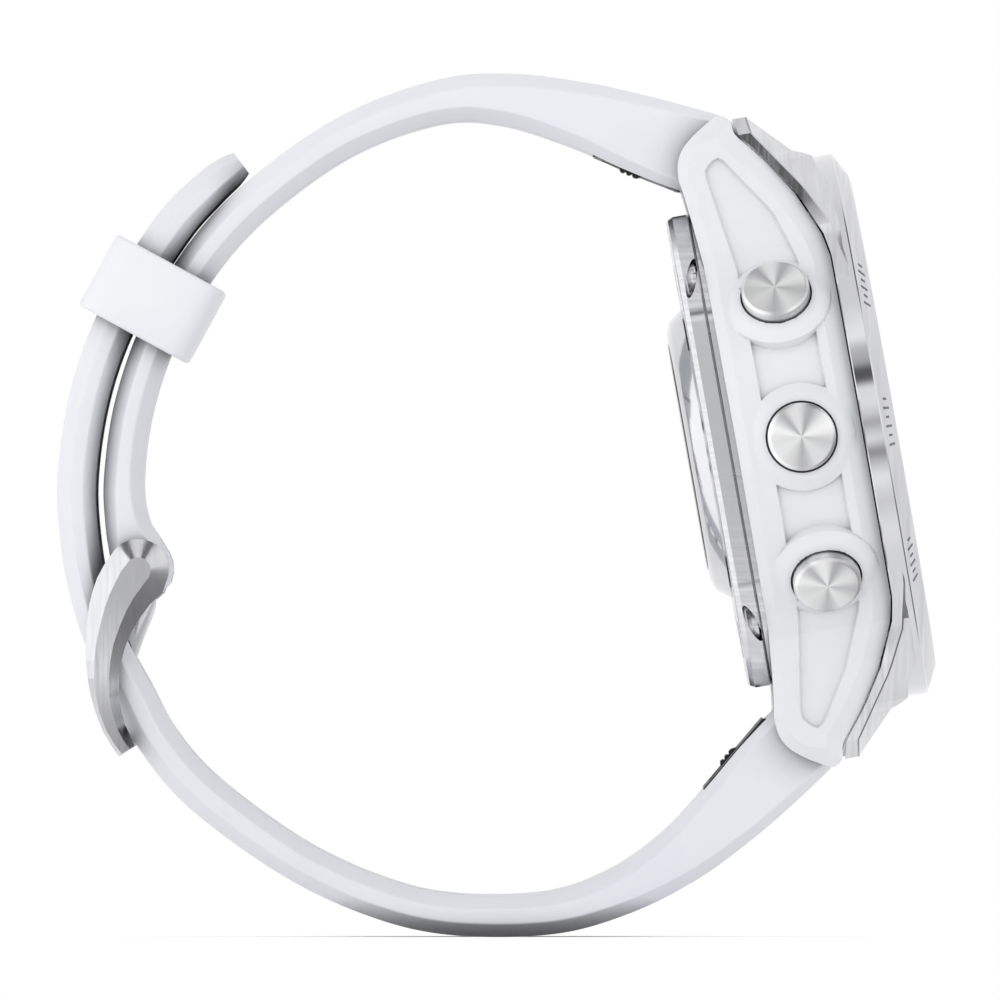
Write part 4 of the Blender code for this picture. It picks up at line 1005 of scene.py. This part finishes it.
class WATCH_OT_straps(bpy.types.Operator):
    """Mould both strap halves, with the adjustment slots, pin holes and latch pockets"""
    bl_idname = "watch.straps"
    bl_label = "Straps"

    def execute(self, context):
        sizes = context.scene.watch_sizes
        lean = (math.cos(CASE_LEAN), math.sin(CASE_LEAN))
        for name, line, sign in (("upper", UPPER_LINE, 1), ("lower", TAIL_LINE, -1)):
            strap = made("strap_%s_moulding" % name, loft(strap_rings(line, sizes)))
            pin = (CASE_X + PIN_U * lean[0] - sign * PIN_V * lean[1],
                   CASE_Z + PIN_U * lean[1] + sign * PIN_V * lean[0])
            cut(strap, prism(circle(*pin, PIN_R + 0.1), -12.0, 12.0, "uv"))
            pocket = box(-3.6, 3.6, -7.6, 7.6, -1.0, 3.0)
            bmesh.ops.transform(pocket, matrix=latch_matrix(name), verts=pocket.verts)
            cut(strap, pocket)
            if name == "upper":
                cut(strap, prism(circle(BAR_X, BAR_Z, BAR_R + 0.1, 32), -12.0, 12.0, "uv"))
                cut(strap, box(-31.0, -22.5, -1.9, 1.9, 24.0, 30.6))
            else:
                spots = strap_points(line, -28.55, 19.7, [n * SLOT_PITCH for n in range(-4, 6)])
                for x, z, along, thick in spots:
                    out, h = Vector((-along.y, along.x)), thick / 2
                    rings = []
                    for n, grow in ((-h - 0.3, 0.55), (0.06 - h, 0.22), (0.3 - h, 0.0),
                                    (h - 0.3, 0.0), (h - 0.06, 0.22), (h + 0.3, 0.55)):
                        ring = []
                        for k in range(40):
                            a = math.tau * (k + 0.5) / 40
                            s = (math.copysign((SLOT_LONG - SLOT_WIDE) / 2, math.cos(a))
                                 + (SLOT_WIDE / 2 + grow) * math.cos(a))
                            ring.append((x + along.x * s + out.x * n,
                                         (SLOT_WIDE / 2 + grow) * math.sin(a),
                                         z + along.y * s + out.y * n))
                        rings.append(ring)
                    cut(strap, loft(rings))
            make_piece(strap, ["silicone_rubber_moulded"], HOME, ["strap_" + name],
                       degrees=20.0)
        return {"FINISHED"}


# The finger slider from the side: a flat tail and a ribbed grip.
GRIP = [(-2.7, -0.3), (1.4, -0.3), (1.4, 0.15), (1.15, 0.4), (0.95, 0.4), (0.8, 0.22),
        (0.65, 0.4), (0.45, 0.4), (0.3, 0.22), (0.15, 0.4), (-0.1, 0.4), (-0.5, 0.15),
        (-2.7, 0.1)]


class WATCH_OT_latches(bpy.types.Operator):
    """Make the black quick-release latches and their finger sliders"""
    bl_idname = "watch.latches"
    bl_label = "Quick-release latches"

    def execute(self, context):
        for which in ("upper", "lower"):
            matrix = latch_matrix(which)
            plate = made("latch_plate_" + which, box(-3.5, 3.5, -7.5, 7.5, -0.9, 0.12))
            cut(plate, box(-2.8, 2.8, -3.2, 3.2, -0.4, 2.0))
            chamfer(plate, 0.08)
            make_piece(plate, ["acetal_black_moulded"], HOME, ["latch_body_" + which],
                       matrix)
            finger = made("latch_finger_" + which, loft(
                [[(x, y, z) for x, z in GRIP] for y in (-3.1, 3.1)]))
            chamfer(finger, 0.03, 1)
            make_piece(finger, ["acetal_black_moulded"], "release_" + which,
                       ["latch_slider_" + which], matrix)
        return {"FINISHED"}


class WATCH_OT_keeper(bpy.types.Operator):
    """Mould the keeper loop round both strap layers"""
    bl_idname = "watch.keeper"
    bl_label = "Keeper"

    def execute(self, context):
        at = Vector((ARC_X + KEEPER_RADIUS * math.cos(KEEPER_ANGLE), 0.0,
                     ARC_Z + KEEPER_RADIUS * math.sin(KEEPER_ANGLE)))
        radial = Vector((math.cos(KEEPER_ANGLE), 0.0, math.sin(KEEPER_ANGLE)))
        tangent = Vector((math.sin(KEEPER_ANGLE), 0.0, -math.cos(KEEPER_ANGLE)))
        half_a, half_b, reach = KEEPER_THICK / 2, KEEPER_HALF_Y, KEEPER_LONG / 2

        def ring(shrink_a, shrink_b, along, corner):
            a, b = half_a - shrink_a, half_b - shrink_b
            outline = softened([(a, b), (-a, b), (-a, -b), (a, -b)], corner, 8)
            return [at + radial * p + Vector((0.0, q, 0.0)) + tangent * along for p, q in outline]

        # Round the outside from end to end, then back along the bore.
        arc = [(1 - math.sin(t), 1 - math.cos(t))
               for t in (math.radians(90 * k / 5) for k in range(6))]
        rings = [ring(KEEPER_EDGE * a, KEEPER_EDGE * a, KEEPER_EDGE * b - reach, KEEPER_CORNER)
                 for a, b in arc]
        rings += [ring(KEEPER_EDGE * b, KEEPER_EDGE * b, reach - KEEPER_EDGE * a, KEEPER_CORNER)
                  for a, b in arc]
        lips = ((0.2, 0.0), (0.0, 0.2))
        for side, pairs in ((1, lips), (-1, lips[::-1])):
            rings += [ring(KEEPER_WALL - lip, KEEPER_SIDE_WALL - lip, side * (reach - back), 0.5)
                      for lip, back in pairs]
        make_piece(made("keeper_loop", loft(rings, closed_path=True)),
                   ["silicone_rubber_keeper"], "keeper_loop", ["keeper"],
                   degrees=40.0)
        return {"FINISHED"}


def side_outline(line, step):
    """The two edges of a tapering bar, from its centre line and half widths."""
    rows = spline(line, step)
    left, right = [], []
    for i, (x, z, half) in enumerate(rows):
        a, b = rows[min(i + 1, len(rows) - 1)], rows[max(i - 1, 0)]
        d = Vector((a[0] - b[0], a[1] - b[1])).normalized()
        left.append((x + d.y * half, z - d.x * half))
        right.append((x - d.y * half, z + d.x * half))
    return left + right[::-1]


# Stations down the buckle arm from its head, in mm from the bar: the outer edge of the outer
# facet, the two edges of the flat, and the outer edge of the inner facet, each as (x, z).
ARM_FACETS = [
    ((-3.05, 0.30), (-1.75, -0.20), (0.35, -0.70), (1.72, -0.85)),
    ((-3.62, -0.75), (-2.25, -1.15), (-0.15, -1.35), (1.35, -1.95)),
    ((-4.00, -1.85), (-2.70, -2.10), (-0.85, -2.30), (0.45, -2.75)),
    ((-4.25, -2.90), (-3.05, -3.10), (-1.35, -3.20), (-0.25, -3.65)),
    ((-4.43, -4.30), (-3.40, -4.40), (-1.90, -4.45), (-0.95, -4.80)),
    ((-4.52, -5.80), (-3.70, -5.80), (-2.38, -5.85), (-1.48, -6.00)),
    ((-4.50, -7.10), (-3.84, -7.10), (-2.62, -7.10), (-1.80, -7.15)),
    ((-4.36, -8.45), (-3.86, -8.45), (-2.73, -8.45), (-1.95, -8.45)),
    ((-4.12, -9.80), (-3.72, -9.80), (-2.70, -9.75), (-1.98, -9.70)),
    ((-3.75, -11.10), (-3.45, -11.05), (-2.52, -10.90), (-1.82, -10.80)),
    ((-3.20, -12.50), (-2.95, -12.40), (-2.15, -12.15), (-1.50, -12.00)),
    ((-2.55, -13.60), (-2.33, -13.45), (-1.65, -13.15), (-1.10, -12.90)),
    ((-1.95, -14.45), (-1.75, -14.22), (-1.15, -13.85), (-0.78, -13.65)),
]
HEAD_X, HEAD_Z, HEAD_R, HEAD_FLAT_R = -0.5, -0.15, 2.35, 0.95


def buckle_outlines():
    """The arm's outer edge and the edge of its flat, as closed outlines with matching points."""
    rim = [row[0] for row in ARM_FACETS[::-1]]
    flat = [row[1] for row in ARM_FACETS[::-1]]
    for degrees in range(150, -21, -10):
        a = math.radians(degrees)
        rim.append((HEAD_X + HEAD_R * math.cos(a), HEAD_Z + HEAD_R * math.sin(a)))
        flat.append((HEAD_X + HEAD_FLAT_R * math.cos(a), HEAD_Z + HEAD_FLAT_R * math.sin(a)))
    rim += [row[3] for row in ARM_FACETS]
    flat += [row[2] for row in ARM_FACETS]
    return rim, flat


class WATCH_OT_buckle(bpy.types.Operator):
    """Make the steel buckle: two faceted arms with turned heads, the end bar, bar and tang"""
    bl_idname = "watch.buckle"
    bl_label = "Buckle"

    def execute(self, context):
        pivot = Matrix.Translation((BAR_X, 0.0, BAR_Z))
        rim, flat = buckle_outlines()
        bm = bmesh.new()
        for sign in (-1, 1):
            inner, wall = sign * ARM_IN, sign * (ARM_OUT - 0.75)
            # The outside falls away a little toward the tip.
            rings = [[(x, inner, z) for x, z in rim]]
            for y, edge in ((wall, rim), (sign * ARM_OUT, flat)):
                rings.append([(x, y - sign * 0.004 * max(0.0, -2.0 - z) ** 2, z)
                              for x, z in edge])
            loft(rings, rungs=True, bm=bm)
        prism(circle(-1.62, -13.55, 0.5, 32), -ARM_IN - 0.3, ARM_IN + 0.3, "uv", bm)
        make_piece(made("buckle_arms", bm), ["stainless_steel_satin"], "buckle",
                   ["buckle_frame"], pivot, 8.0)

        bar = lathe([(-10.85, 0.0), (-10.85, BAR_R - 0.1), (-10.75, BAR_R), (10.75, BAR_R),
                     (10.85, BAR_R - 0.1), (10.85, 0.0)], 40)
        make_piece(made("spring_bar", bar), ["stainless_steel_polished"], HOME, ["buckle_bar"],
                   pivot @ Matrix.Rotation(math.pi / 2, 4, "Z"))

        tang = made("tang_blade", prism(side_outline(TANG_LINE, 0.6), -0.85, 0.85, "uv"))
        cut(tang, prism(circle(0.0, 0.0, 1.5), -1.6, 1.6, "uv"), "UNION")
        cut(tang, prism(circle(0.0, 0.0, BAR_R + 0.1), -3.0, 3.0, "uv"))
        chamfer(tang, 0.14, 3, 40.0)
        make_piece(tang, ["stainless_steel_polished"], "tang", ["buckle_tang"],
                   pivot, 30.0)
        return {"FINISHED"}


class WATCH_OT_insides(bpy.types.Operator):
    """Give the parts kept from the CAD their real finishes"""
    bl_idname = "watch.insides"
    bl_label = "Inner parts"

    def execute(self, context):
        kept = {
            "lens_gasket": "gasket_rubber_moulded", "rear_gasket": "gasket_rubber_moulded",
            "display_tray": "stainless_steel_polished", "main_board": "circuit_board_mask",
            "sensor_board": "circuit_board_mask", "battery": "pouch_cell_foil",
            "vibration_motor": "stainless_steel_polished", "haptic_shoe": "acetal_black_moulded",
            "inner_carrier": "acetal_black_moulded", "charge_block": "acetal_black_moulded",
            "lug_pin_upper": "stainless_steel_polished",
            "lug_pin_lower": "stainless_steel_polished",
        }
        kept.update({"charge_contact_%d" % n: "gold_plated_contact" for n in range(1, 5)})
        for name, _, _ in BUTTONS:
            kept["sleeve_" + name] = "acetal_black_moulded"
            kept["spring_" + name] = "spring_wire_drawn"
        for node, finish in kept.items():
            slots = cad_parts[node].material_slots
            if not slots:
                raise RuntimeError("%s has no material slot" % node)
            for slot in slots:
                slot.material = finish_of(finish)
        return {"FINISHED"}


# The stage. Floor, camera and sensor in mm; softboxes as name, place in metres, size in metres
# and watts. The floor's oval is its half widths in metres.
FLOOR_R, FLOOR_OVAL = 600.0, (0.037, 0.0045, 1.0)
CAMERA_AWAY, VIEW_WIDE, SENSOR_WIDE = 2500.0, 76.68, 36.0
WHITE = (1.0, 1.0, 1.0, 1.0)
ROOM_MIDDLE, ROOM_BEHIND = 1.5, 1.0
SOFTBOXES = (("softbox_front", (-0.2, -0.98, 0.2), 0.6, 1.32),
             ("softbox_left", (-0.8, -0.45, 0.2), 0.4, 0.22),
             ("softbox_right", (0.9, -0.2, 0.12), 0.4, 0.95))


class WATCH_OT_stage(bpy.types.Operator):
    """Set the pale floor, the studio lights and the camera"""
    bl_idname = "watch.stage"
    bl_label = "Studio"

    def execute(self, context):
        scene = context.scene
        scene.view_settings.view_transform = "Standard"

        bm = bmesh.new()
        bmesh.ops.create_circle(bm, cap_ends=True, segments=96, radius=FLOOR_R)
        floor = made("studio_floor", bm)
        floor.data.transform(Matrix.Scale(MM, 4))
        # Matt painted board: pale, with a soft shadow close to the strap. Outside a small oval it
        # fades into the white room.
        mat = bpy.data.materials.new("painted_studio_floor")
        mat.use_nodes = True
        tree = mat.node_tree
        shader = join(tree, tree.nodes["Principled BSDF"],
                      {"Base Color": (*linear("#F7F7F8"), 1.0), "Roughness": 0.55})
        spot = add(tree, "ShaderNodeTexCoord").outputs["Object"]
        oval = add(tree, "ShaderNodeVectorMath", {"operation": "DIVIDE"}, {1: FLOOR_OVAL},
                   {0: spot})
        reach = add(tree, "ShaderNodeVectorMath", {"operation": "LENGTH"},
                    links={"Vector": oval.outputs["Vector"]})
        fade = add(tree, "ShaderNodeMapRange", {"interpolation_type": "SMOOTHSTEP"},
                   {"From Min": 0.1, "From Max": 1.0}, {"Value": reach.outputs["Value"]})
        seen = add(tree, "ShaderNodeMath", {"operation": "MULTIPLY"},
                   links={0: fade.outputs["Result"],
                          1: add(tree, "ShaderNodeLightPath").outputs["Is Camera Ray"]})
        glow = add(tree, "ShaderNodeEmission", inputs={"Color": WHITE, "Strength": 1.0})
        blend = add(tree, "ShaderNodeMixShader",
                    links={"Fac": seen.outputs["Value"], 1: shader.outputs["BSDF"],
                           2: glow.outputs["Emission"]})
        join(tree, tree.nodes["Material Output"], links={"Surface": blend.outputs["Shader"]})
        floor.data.materials.append(mat)
        # Polished steel mirrors the room's own strips, so it does not see the floor.
        floor.visible_glossy = False

        # The room, by direction. turn goes round the line from the object to its front: left,
        # floor, right, ceiling and left again. rise goes from floor to ceiling straight ahead.
        world = bpy.data.worlds.new("white_studio")
        scene.world = world
        world.use_nodes = True
        tree = world.node_tree
        tree.nodes.clear()
        way = add(tree, "ShaderNodeTexCoord").outputs["Generated"]
        apart = add(tree, "ShaderNodeSeparateXYZ", links={"Vector": way}).outputs
        turn = add(tree, "ShaderNodeMath", {"operation": "ARCTAN2"},
                   links={0: apart["Z"], 1: apart["X"]})
        around = strip_light(tree, turn.outputs["Value"], ROOM_AROUND)
        front = add(tree, "ShaderNodeMath", {"operation": "MULTIPLY"}, {1: -1.0},
                    {0: apart["Y"]}).outputs["Value"]
        rise = add(tree, "ShaderNodeMath", {"operation": "ARCTAN2"},
                   links={0: apart["Z"], 1: front})
        ahead = strip_light(tree, rise.outputs["Value"], ROOM_AHEAD)
        aside = add(tree, "ShaderNodeMath", {"operation": "ABSOLUTE"},
                    links={0: apart["X"]}).outputs["Value"]
        narrow, facing, pole, rear = (
            add(tree, "ShaderNodeMapRange", {"interpolation_type": "SMOOTHSTEP"},
                {"From Min": low, "From Max": high}, {"Value": source}).outputs["Result"]
            for low, high, source in ((0.42, 0.2, aside), (0.35, 0.8, front),
                                      (0.55, 0.93, front), (-0.15, -0.5, front)))
        share = add(tree, "ShaderNodeMath", {"operation": "MULTIPLY"},
                    links={0: narrow, 1: facing})
        middle = add(tree, "ShaderNodeMix", inputs={"A": ROOM_MIDDLE},
                     links={"Factor": share.outputs["Value"], "B": ahead})
        bright = add(tree, "ShaderNodeMix", links={"Factor": pole, "A": around,
                                                   "B": middle.outputs["Result"]})
        bright = add(tree, "ShaderNodeMix", inputs={"B": ROOM_BEHIND},
                     links={"Factor": rear, "A": bright.outputs["Result"]})
        room = add(tree, "ShaderNodeBackground", inputs={"Color": (0.995, 0.998, 1.0, 1.0)},
                   links={"Strength": bright.outputs["Result"]})
        seen = add(tree, "ShaderNodeBackground", inputs={"Color": WHITE, "Strength": 1.0})
        pick = add(tree, "ShaderNodeMixShader",
                   links={"Fac": add(tree, "ShaderNodeLightPath").outputs["Is Camera Ray"],
                          1: room.outputs["Background"], 2: seen.outputs["Background"]})
        add(tree, "ShaderNodeOutputWorld", links={"Surface": pick.outputs["Shader"]})

        centre = Vector((0.0, 0.0, 0.034))
        for name, spot, size, watts in SOFTBOXES:
            light = bpy.data.lights.new(name, "AREA")
            light.shape, light.size, light.energy = "DISK", size, watts
            obj = bpy.data.objects.new(name, light)
            scene.collection.objects.link(obj)
            obj.location = spot
            obj.rotation_euler = (centre - Vector(spot)).to_track_quat("-Z", "Y").to_euler()
            obj.visible_camera = obj.visible_glossy = False

        cam = bpy.data.cameras.new("camera")
        cam.sensor_width = SENSOR_WIDE
        cam.lens = SENSOR_WIDE * CAMERA_AWAY / VIEW_WIDE
        cam.clip_start, cam.clip_end = 0.1, 20.0
        eye = bpy.data.objects.new("camera", cam)
        scene.collection.objects.link(eye)
        eye.location = (0.13 * MM, -CAMERA_AWAY * MM, 33.47 * MM)
        eye.rotation_euler = (math.pi / 2, 0.0, 0.0)
        scene.camera = eye
        return {"FINISHED"}


OPERATORS = (WATCH_OT_case, WATCH_OT_bezel, WATCH_OT_dial, WATCH_OT_back, WATCH_OT_buttons,
             WATCH_OT_straps, WATCH_OT_latches, WATCH_OT_keeper, WATCH_OT_buckle,
             WATCH_OT_insides, WATCH_OT_stage)


class WATCH_PT_panel(bpy.types.Panel):
    """Lists the watch's settings and the steps that build it"""
    bl_idname = "WATCH_PT_panel"
    bl_label = "GPS running watch"
    bl_space_type = "VIEW_3D"
    bl_region_type = "UI"
    bl_category = "Watch"

    def draw(self, context):
        column = self.layout.column()
        for group in (context.scene.watch_sizes, context.scene.watch_colours):
            for key in group.__annotations__:
                column.prop(group, key)
        for operator in OPERATORS:
            column.operator(operator.bl_idname)


CLASSES = (WatchSizes, WatchColours) + OPERATORS + (WATCH_PT_panel,)


def register():
    for cls in CLASSES:
        bpy.utils.register_class(cls)
    bpy.types.Scene.watch_sizes = PointerProperty(type=WatchSizes)
    bpy.types.Scene.watch_colours = PointerProperty(type=WatchColours)


def unregister():
    del bpy.types.Scene.watch_colours
    del bpy.types.Scene.watch_sizes
    for cls in reversed(CLASSES):
        bpy.utils.unregister_class(cls)


def main():
    register()
    for operator in OPERATORS:
        group, name = operator.bl_idname.split(".")
        getattr(getattr(bpy.ops, group), name)()


if __name__ == "__main__":
    main()
